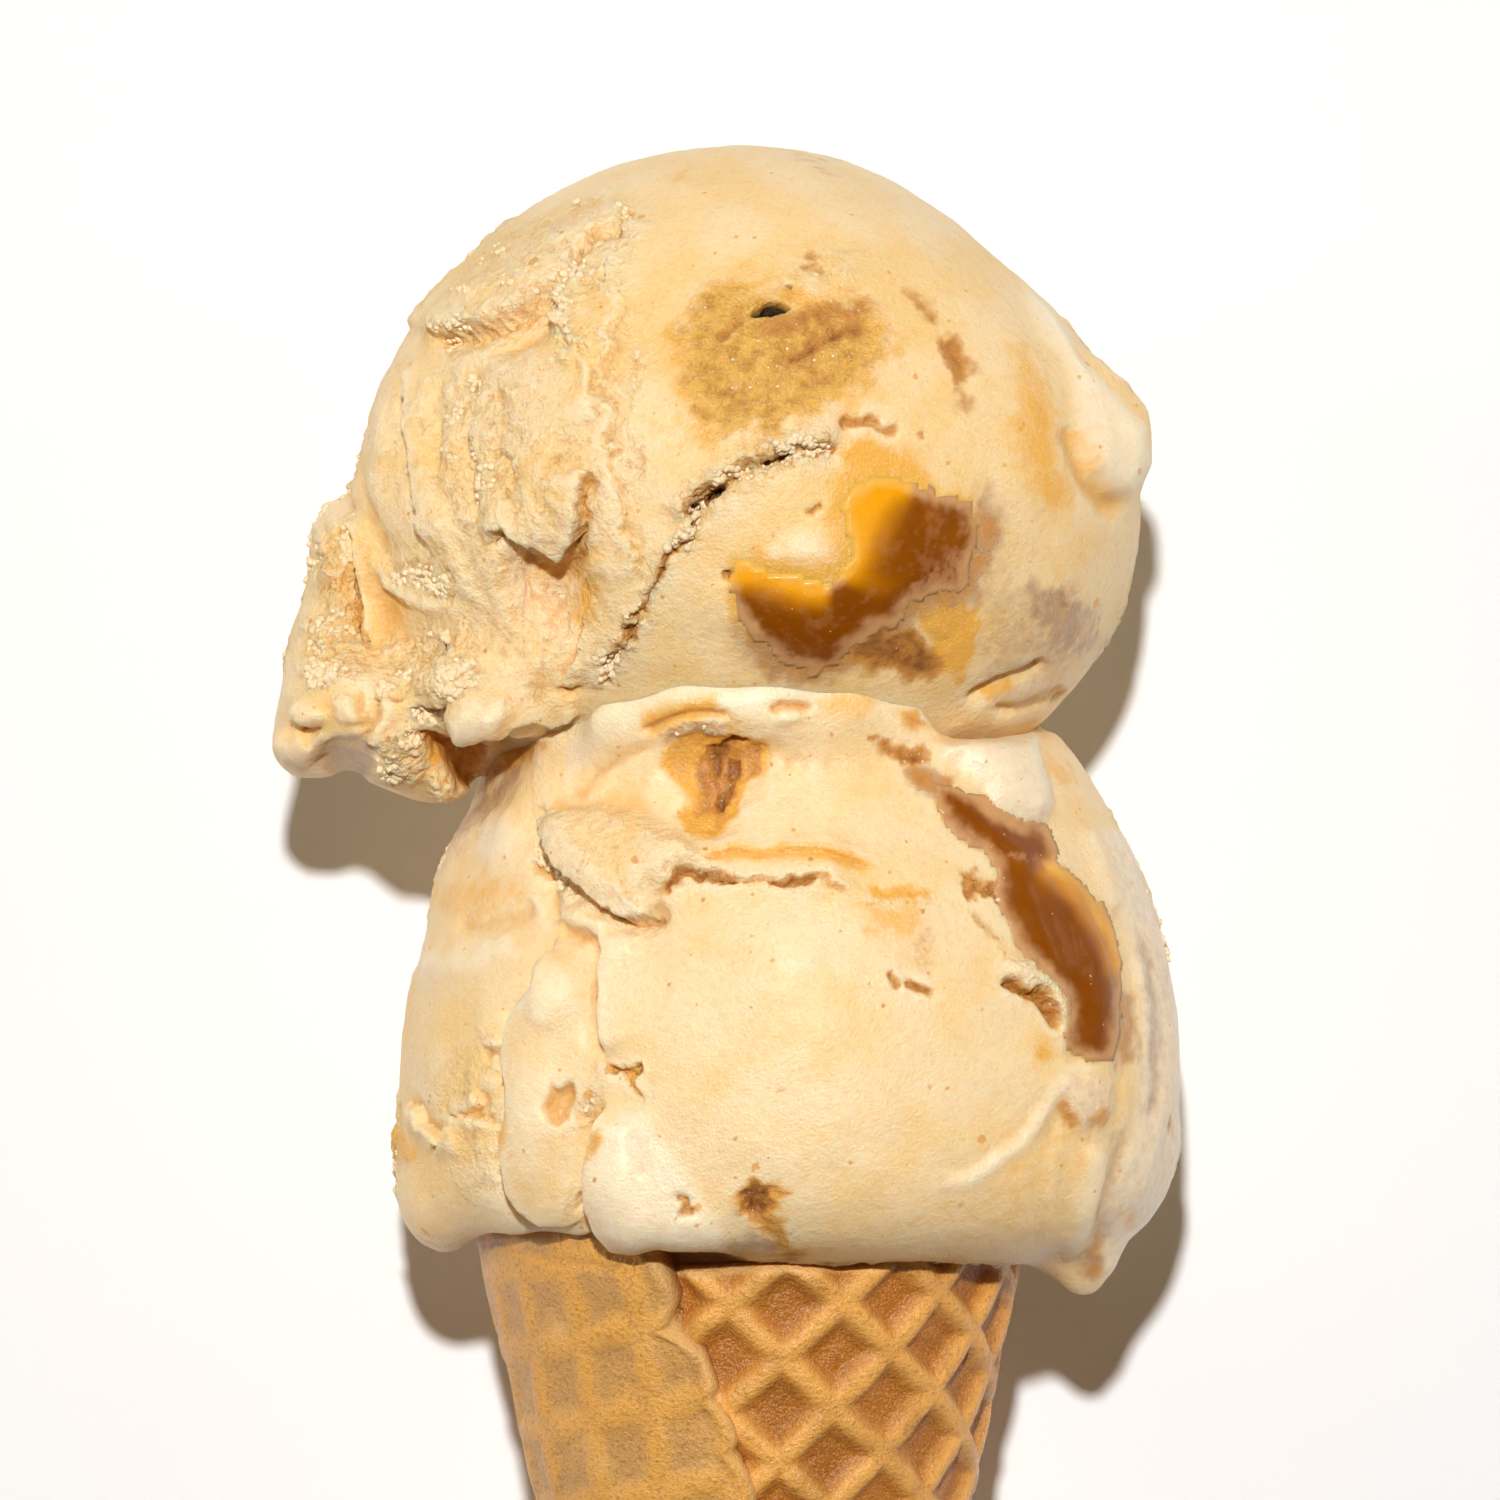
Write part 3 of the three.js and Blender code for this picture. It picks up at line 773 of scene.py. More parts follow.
        bump = g.node("ShaderNodeBump", {}, {"Strength": 0.9, "Distance": 0.36 * MM, "Height": height})
        return g.surface({
            "Base Color": colour, "Roughness": roughness, "Normal": bump, "Subsurface Weight": self.glow,
            "Subsurface Radius": (1.0, 0.55, 0.22), "Subsurface Scale": 1.6 * MM, "IOR": 1.40,
            "Coat Weight": 0.03 + milk * 0.10, "Coat Roughness": 0.28,
        })


@dataclass(frozen=True)
class CaramelFinish:
    """Wet caramel: dark amber, golden where it is thin, smeared with ice cream here and there."""

    deep: tuple[float, float, float] = (0.24, 0.060, 0.001)
    amber: tuple[float, float, float] = (0.50, 0.170, 0.001)
    golden: tuple[float, float, float] = (0.88, 0.37, 0.003)
    smeared: tuple[float, float, float] = (0.44, 0.19, 0.075)
    frost: tuple[float, float, float] = (0.90, 0.66, 0.36)
    golden_rim: tuple[float, float, float] = (0.87, 0.46, 0.075)
    brown_rim: tuple[float, float, float] = (0.60, 0.32, 0.135)
    feather: float = 1.2

    def make(self) -> bpy.types.Material:
        """Builds the material."""
        g = Graph("caramel")
        place = g.millimetres()
        thin = g.attribute("thin")
        smears = g.attribute("smears")
        cloud = g.noise(place, 4.5, 1.0)
        fine = g.noise(place, 0.30, 2.0)
        shallow = thin + (cloud - 0.5) * 0.5
        frosted = g.noise(place, 0.9, 5.0) * 0.6 + g.noise(place, 2.6, 2.0) * 0.4 + smears * 0.07
        feathered = g.attribute("inward") + (g.noise(place, 1.3, 5.0) - 0.5) * 1.1
        rim = g.blend(g.ramp(shallow, 0.15, 0.85), self.brown_rim, self.golden_rim)
        colour = g.layered(
            g.blend(g.ramp(shallow, 0.0, 0.5), self.deep, self.amber),
            (g.ramp(shallow, 0.35, 1.0), self.golden),
            (g.ramp(frosted, 0.50, 0.72) * (1.0 - thin) * smears, self.smeared),
            (g.specks(place, 1.1, 0.30, 0.10, 5.3) * 0.6, self.frost),
        )
        colour = g.blend(g.ramp(feathered, -0.2, self.feather), rim, colour)
        bump = g.node("ShaderNodeBump", {}, {"Strength": 0.3, "Distance": 0.12 * MM, "Height": fine + cloud})
        return g.surface({
            "Base Color": colour, "Roughness": 0.24 + fine * 0.20, "Normal": bump, "Subsurface Weight": 0.2,
            "Subsurface Radius": (1.0, 0.4, 0.1), "Subsurface Scale": 1.0 * MM, "IOR": 1.45,
            "Specular IOR Level": 0.14, "Coat Weight": 0.04, "Coat Roughness": 0.10,
        })


@dataclass(frozen=True)
class WaferFinish:
    """Baked wafer: golden on the ridges, browner in the squares, pale along cut edges."""

    crest: tuple[float, float, float] = (0.84, 0.41, 0.085)
    slope: tuple[float, float, float] = (0.60, 0.25, 0.042)
    square: tuple[float, float, float] = (0.44, 0.145, 0.013)
    light_side: tuple[float, float, float] = (0.80, 0.44, 0.13)
    golden_side: tuple[float, float, float] = (0.76, 0.37, 0.065)
    grey_side: tuple[float, float, float] = (0.56, 0.295, 0.090)
    cut: tuple[float, float, float] = (0.82, 0.50, 0.19)
    toasted: tuple[float, float, float] = (0.24, 0.072, 0.010)

    def make(self) -> bpy.types.Material:
        """Builds the material."""
        g = Graph("wafer")
        place = g.millimetres()
        ridge = g.attribute("ridge")
        flap = g.attribute("flap")
        edge = g.attribute("cut_edge")
        gap = g.attribute("seam_gap")
        cloud = g.noise(place, 5.0, 4.0)
        blotch = g.noise(place, 2.0, 3.0)
        grain = g.noise(place, 0.42, 3.0)
        fine = g.noise(place, 0.20, 2.0)
        worn = ridge + (blotch - 0.5) * 0.5 + (grain - 0.5) * 0.4
        pressed = g.blend(g.ramp(worn, 0.0, 0.55), self.square, self.slope)
        pressed = g.blend(g.ramp(worn, 0.45, 1.05), pressed, self.crest)
        plain = g.blend(g.ramp(ridge * 0.5 + (blotch - 0.5) * 1.0 + 0.3, 0.1, 0.9), self.grey_side, self.golden_side)
        plain = g.blend(g.ramp(cloud, 0.50, 0.72) * 0.6, plain, self.light_side)
        colour = g.layered(
            g.blend(flap, pressed, plain),
            (g.ramp(cloud, 0.50, 0.72) * 0.35 * (1.0 - flap), self.toasted),
            (g.ramp(grain, 0.52, 0.68) * 0.38, self.toasted),
            (g.ramp(0.5 - fine, 0.0, 0.16) * 0.35, self.cut),
            (g.ramp(edge + (blotch - 0.5) * 0.3, 0.2, 0.9) * 0.7, self.cut),
            # Painted shadow: the gap under the outer turn's edge, beside a notch, is painted dark.
            (gap * 0.8, self.toasted),
        )
        roughness = 0.34 + (grain - 0.5) * 0.5 + flap * 0.08
        height = grain + fine * 0.5
        bump = g.node("ShaderNodeBump", {}, {"Strength": 1.0, "Distance": 0.20 * MM, "Height": height})
        return g.surface({
            "Base Color": colour, "Roughness": roughness, "Normal": bump, "Subsurface Weight": 0.10,
            "Subsurface Radius": (1.0, 0.5, 0.2), "Subsurface Scale": 0.8 * MM, "IOR": 1.45,
        })


# ---- The scoops


@dataclass
class CaramelStreak:
    """Caramel that lies in a scoop and shows at its surface.

    Attributes:
        node: The node of the frame that it stands for.
        outline: Where it shows, as seen, in the form that places() reads.
        proud: How far its middle stands out of the ice cream.
        sink: How deep its bed is.
        ragged: How far its outline strays.
        golden: The lines along which it is thin and golden.
        smears: How much ice cream is smeared over it.
        smeared: The lines along which it is smeared most.
        film: How far its thin rim stands over the ice cream.
        margin: How far that rim reaches past the outline.
        bank: How far inside the outline its bed starts to sink, and how far inside it is at its deepest.
        shine: How golden it is where it is thin.
        halo: How the ice cream round it is stained: with what, how far out and how strongly.
    """

    node: str
    outline: str
    proud: float
    sink: float
    ragged: float
    golden: tuple[Furrow, ...]
    smears: float = 0.2
    smeared: tuple[Furrow, ...] = ()
    film: float = 0.04
    margin: float = 0.55
    bank: tuple[float, float] = (1.1, 2.2)
    shine: float = 1.0
    halo: tuple[tuple[Stain, float, float], ...] = ((Stain.GOLD, 1.7, 0.9),)

    def cut_from(self, scoop: bpy.types.Object, bare: Array, outward: Array, within: Array) -> bpy.types.Object:
        """Makes the caramel over its bed.

        Args:
            scoop: The finished scoop, whose faces it follows.
            bare: The scoop's vertices before its beds were sunk, in millimetres.
            outward: The normal at each of them.
            within: The distance of each of them inside the outline.

        Returns:
            The caramel as a closed piece.
        """
        piece = Workshop.copy(scoop)
        piece.name = piece.data.name = f"{self.node}_wet"
        ripple = Grain.rough(bare, 3.2, 77, 2) * 0.08 * smooth(0.5, 1.5, within)
        rise = self.film + (self.proud - self.film) * smooth(0.3, 2.2, within)
        Workshop.place(piece, bare + outward * (rise + ripple)[:, None])
        seen = OUTLOOK.seen(bare)
        Workshop.attribute(piece, "thin", self.shine * np.max([line.shape(seen)[1] for line in self.golden], axis=0))
        Workshop.attribute(piece, "inward", within)
        drawn = [line.shape(seen)[1] * 1.6 for line in self.smeared]
        Workshop.attribute(piece, "smears", np.max([np.full(len(bare), self.smears), *drawn], axis=0))
        at, starts = Workshop.corners(piece)
        outside = np.minimum.reduceat(within[at], starts) < -self.margin
        outside |= np.minimum.reduceat(outward[at, 2], starts) < 0.05
        Workshop.edit_faces(piece, outside, bpy.ops.mesh.delete, type="FACE")
        Workshop.modify(piece, "SOLIDIFY", thickness=self.sink * 0.9 * MM, offset=-1.0)
        return piece


@dataclass
class Scoop:
    """One scoop of ice cream.

    Attributes:
        node: The node of the frame that it stands for.
        filled: The nodes whose room in it is filled before it is shaped.
        marks: Its folds, cracks, hollows and stains.
        streaks: The caramel that lies in it.
        axis: The point that its plain sides were scraped around.
        above: The piece of the scoop above it, if there is one.
        lumps: Melted ice cream that lies on the scoop above: where each lump's middle is seen, and its size.
        lowest: How far towards the tip of the cone its shown side is refined.
        voxel: The size of its first faces.
        fillet: How wide its seams are rounded.
        splits: The share of the faces still to come that each round of splitting adds.
        most_faces: How many faces it may have.
        crumb_count: How many loose crumbs it has.
        crumb_sizes: The smallest and largest half size of a crumb.
        crumb_seed: Which crumbs they are.
    """

    node: str
    filled: tuple[str, ...]
    marks: tuple[Mark, ...]
    streaks: tuple[CaramelStreak, ...]
    axis: tuple[float, float, float]
    above: str = ""
    lumps: tuple[tuple[float, float, float], ...] = ()
    lowest: float = -30.0
    voxel: float = 1.1
    fillet: float = 1.1
    splits: tuple[float, ...] = (1.0, 0.62, 1.0)
    most_faces: int = 90000
    crumb_count: int = 1100
    crumb_sizes: tuple[float, float] = (0.22, 0.50)
    crumb_seed: int = 7

    def block_out(self) -> bpy.types.Object:
        """Makes the plain form: the node's own, with its pockets filled and its seams rounded, in one skin."""
        parts = [Workshop.copy_node(self.node)]
        for name in self.filled:
            filler = Workshop.copy_node(name)
            Workshop.swell(filler, 0.5)
            parts.append(filler)
        for x, y, size in self.lumps:
            middle = OUTLOOK.found(bpy.data.objects[self.above], (x, y))
            parts.append(Workshop.blob(middle - Vector((0.0, 0.0, 0.25 * size)), (1.3 * size, size, 0.8 * size)))
        scoop = Workshop.join(parts, f"{self.node}_cream")
        for swelling in (self.fillet, -self.fillet):
            Workshop.modify(scoop, "REMESH", mode="VOXEL", voxel_size=self.voxel * MM)
            Workshop.modify(scoop, "SMOOTH", factor=0.5, iterations=9)
            Workshop.swell(scoop, swelling)
        Workshop.modify(scoop, "SMOOTH", factor=0.5, iterations=6)
        return scoop

    def refine(self, scoop: bpy.types.Object) -> None:
        """Splits the faces of the shown side, and then again those over which the relief changes most."""
        for share in self.splits:
            points, outward = Workshop.points(scoop), Workshop.normals(scoop)
            at, starts = Workshop.corners(scoop)
            height, stains = self.relief(points, outward)
            shown = np.minimum.reduceat(outward[at, 2], starts) > -0.25
            shown &= np.minimum.reduceat(points[at, 1], starts) > self.lowest
            change = np.maximum.reduceat(height[at], starts) - np.minimum.reduceat(height[at], starts)
            change += 0.3 * np.maximum.reduceat(stains[Stain.TORN][at], starts)
            change = np.where(shown, change, -1.0)
            room = int((self.most_faces - len(starts)) / 3 * share)
            order = np.argsort(-change, kind="stable")[:min(room, int(shown.sum()))]
            pick = np.zeros(len(starts), dtype=bool)
            pick[order] = True
            Workshop.edit_faces(
                scoop, pick, bpy.ops.mesh.subdivide, number_cuts=1, smoothness=0.0, quadcorner="INNERVERT",
            )
            LOG.info("%s: %d faces after a split", scoop.name, len(scoop.data.polygons))
        Workshop.modify(scoop, "SMOOTH", factor=0.5, iterations=2)

    def relief(self, points: Array, outward: Array) -> tuple[Array, dict[Stain, Array]]:
        """Works out the folds and cracks.

        Args:
            points: Places on the plain form, in millimetres.
            outward: The normals there.

        Returns:
            The height to add at each place, and the strength of each stain there.
        """
        seen = OUTLOOK.seen(points)
        stray = Grain.stray(points)
        front = smooth(-0.35, 0.0, outward[:, 2])
        stains = {stain: np.zeros(len(points)) for stain in Stain}
        height = np.zeros(len(points))
        for mark in self.marks:
            near = mark.near(seen)
            if not len(near):
                continue
            lift, paint = mark.shape(seen[near] + stray[near] * mark.ragged)
            height[near] += lift * front[near]
            for stain, strength in mark.stain:
                stains[stain][near] = np.maximum(stains[stain][near], paint * strength * front[near])
        height += self.plain_side(points, outward, stains) * (1.0 - front)
        return height + Grain.rough(points, 7.0, 21, 2) * 0.20, stains

    @classmethod
    def roughen(cls, scoop: bpy.types.Object, stains: dict[Stain, Array]) -> None:
        """Adds the grain of torn and crumbly places to a scoop that has its folds."""
        points, outward = Workshop.points(scoop), Workshop.normals(scoop)
        height = Grain.rough(points, 1.7, 40, 3) * 0.05
        for stain, relief in ((Stain.TORN, cls.flaking), (Stain.BISCUIT, cls.crumbs)):
            share = stains[stain]
            rough = np.nonzero(share > 0.02)[0]
            height[rough] += share[rough] * relief(points[rough])
        Workshop.place(scoop, points + outward * height[:, None])

    @staticmethod
    def crumbs(points: Array) -> Array:
        """Gives the relief of biscuit crumbs."""
        return Grain.rough(points, 1.0, 31, 3) * 0.16

    @staticmethod
    def flaking(points: Array) -> Array:
        """Gives the relief of torn ice cream: small flakes, parted by cracks, with a few pits."""
        flakes = Grain.rough(points, 1.6, 11, 3) * 0.32
        cracks = 1.0 - smooth(0.02, 0.16, np.abs(Grain.rough(points, 2.3, 15, 2)))
        pits = smooth(0.45, 0.85, Grain.crumbs(points, 1.5, 18)) * smooth(0.0, 0.5, Grain.wave(points, 2.8, 19))
        return flakes + Grain.crumbs(points, 0.9, 12) * 0.36 - cracks * 0.26 - pits * 0.45

    def sculpt(self, scoop: bpy.types.Object) -> tuple[list[bpy.types.Object], bpy.types.Object]:
        """Gives the plain form its relief and its stains, and lays the caramel in it.

        Args:
            scoop: The plain form, which is changed.

        Returns:
            The caramel pieces, and the loose crumbs.
        """
        self.refine(scoop)
        points, outward = Workshop.points(scoop), Workshop.normals(scoop)
        seen = OUTLOOK.seen(points)
        height, stains = self.relief(points, outward)
        above_floor = smooth(0.0, 2.5, points[:, 2])
        relieved = points + outward * (height * above_floor)[:, None]
        relieved[:, 2] = np.maximum(relieved[:, 2], 0.0)
        Workshop.place(scoop, relieved)
        Workshop.modify(scoop, "SMOOTH", factor=0.5, iterations=2)
        self.roughen(scoop, stains)
        relieved = Workshop.points(scoop)
        relieved[:, 2] = np.maximum(relieved[:, 2], 0.0)
        # How far each place lies under its surroundings: the shader turns it into painted shade in hollows and a
        # painted highlight on raised places.
        sunk = Workshop.sunkenness(scoop, 24)
        Workshop.attribute(scoop, "sunk", sunk)
        shown = outward[:, 2] > 0.0
        outward = Workshop.normals(scoop)
        stray = Grain.stray(points)
        beds = np.zeros(len(points))
        rims = []
        for streak in self.streaks:
            within = np.where(shown, inside_outline(seen + stray * streak.ragged, places(streak.outline)), -9.0)
            beds -= streak.sink * smooth(*streak.bank, within)
            rims.append(within)
            for stain, reach, strength in streak.halo:
                stains[stain] = np.maximum(stains[stain], smooth(-reach, 0.2, within) * strength)
        Workshop.place(scoop, relieved + outward * beds[:, None])
        made = [streak.cut_from(scoop, relieved, outward, within) for streak, within in zip(self.streaks, rims)]
        for stain, values in stains.items():
            Workshop.attribute(scoop, stain.value, values)
        crumbs = self.loose_crumbs(scoop, stains[Stain.TORN])
        return made, crumbs

    def loose_crumbs(self, scoop: bpy.types.Object, torn: Array) -> bpy.types.Object:
        """Makes the crumbs that stand up from torn places, all as one piece.

        Args:
            scoop: The finished scoop.
            torn: How torn it is at each vertex.

        Returns:
            The crumbs.
        """
        points, outward = Workshop.points(scoop), Workshop.normals(scoop)
        draw = np.random.default_rng(self.crumb_seed)
        chance = smooth(0.35, 0.95, torn) * smooth(-0.1, 0.5, Grain.wave(points, 3.0, 121))
        chance *= smooth(-0.1, 0.3, outward[:, 2])
        picked = draw.choice(len(points), self.crumb_count, replace=False, p=chance / chance.sum())
        sizes = draw.uniform(*self.crumb_sizes, (self.crumb_count, 1, 1))
        turns = np.linalg.qr(draw.normal(size=(self.crumb_count, 3, 3)))[0]
        turns *= np.sign(np.linalg.det(turns))[:, None, None]
        Workshop.deselect()
        bpy.ops.mesh.primitive_ico_sphere_add(subdivisions=2, radius=1.0)
        crumb = bpy.context.active_object
        crumb.name = f"{self.node}_crumbs"
        shape = Workshop.points(crumb) * MM
        faces = np.array([face.vertices[:] for face in crumb.data.polygons])
        corners = shape[None] * draw.uniform(0.6, 1.0, (self.crumb_count, 1, 3))
        corners = corners * (1.0 + draw.uniform(-0.18, 0.18, (self.crumb_count, len(shape), 1)))
        middles = (points[picked] - outward[picked] * sizes[:, 0] * 0.15)[:, None]
        placed = middles + np.einsum("nvk,nkj->nvj", corners, turns) * sizes
        every = (faces[None] + (np.arange(self.crumb_count) * len(shape))[:, None, None]).reshape(-1, 3)
        crumb.data = bpy.data.meshes.new(crumb.name)
        crumb.data.from_pydata((placed.reshape(-1, 3) * MM).tolist(), [], every.tolist())
        Workshop.attribute(crumb, Stain.MILK.value, np.full(placed.size // 3, 0.55))
        return crumb

    def plain_side(self, points: Array, outward: Array, stains: dict[Stain, Array]) -> Array:
        """Gives the relief of the sides and back: bands left by scooping, torn places and pits.

        Args:
            points: The vertices, in millimetres.
            outward: The normals there.
            stains: The strength of each stain, to which the torn places are added.

        Returns:
            The height to add at each.
        """
        away = points - np.array(self.axis)
        around = np.arctan2(away[:, 2], away[:, 0])
        banded = np.stack([around * 9.0, away[:, 1] * 0.9, np.zeros(len(points))], axis=1)
        bands = Grain.wave(banded, 2.6, 51) * 0.5
        uneven = Grain.rough(points, 12.0, 55, 2)
        ripped = smooth(0.25, 0.55, uneven)
        step = smooth(0.22, 0.30, uneven) - 0.5
        behind = 1.0 - smooth(-0.1, 0.3, outward[:, 2])
        stains[Stain.TORN] = np.maximum(stains[Stain.TORN], ripped * 0.8 * behind)
        strayed = points + np.stack([Grain.rough(points, 2.5, 63 + k, 2) for k in range(3)], axis=1)
        pits = smooth(0.60, 0.95, Grain.crumbs(strayed, 4.2, 61)) * smooth(0.1, 0.6, Grain.wave(points, 9.0, 62))
        return bands + step * 0.9 - pits * 0.7 + Grain.rough(points, 3.2, 67, 2) * 0.16

    def build(self, look: bpy.types.Material, wet: bpy.types.Material, dry: bpy.types.Material) -> None:
        """Makes the scoop, its caramel and its crumbs, and dresses them."""
        scoop = self.block_out()
        pieces, crumbs = self.sculpt(scoop)
        for streak, piece in zip(self.streaks, pieces):
            Workshop.finish(piece, wet, "caramel")
            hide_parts(streak.node)
        Workshop.finish(scoop, look, "ice_cream")
        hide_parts(self.node)
        Workshop.finish(crumbs, dry, "ice_cream")


def tint(**strengths: float) -> tuple[tuple[Stain, float], ...]:
    """Gives the paint of a mark, from the strength of each stain by its name."""
    return tuple((Stain(name), strength) for name, strength in strengths.items())


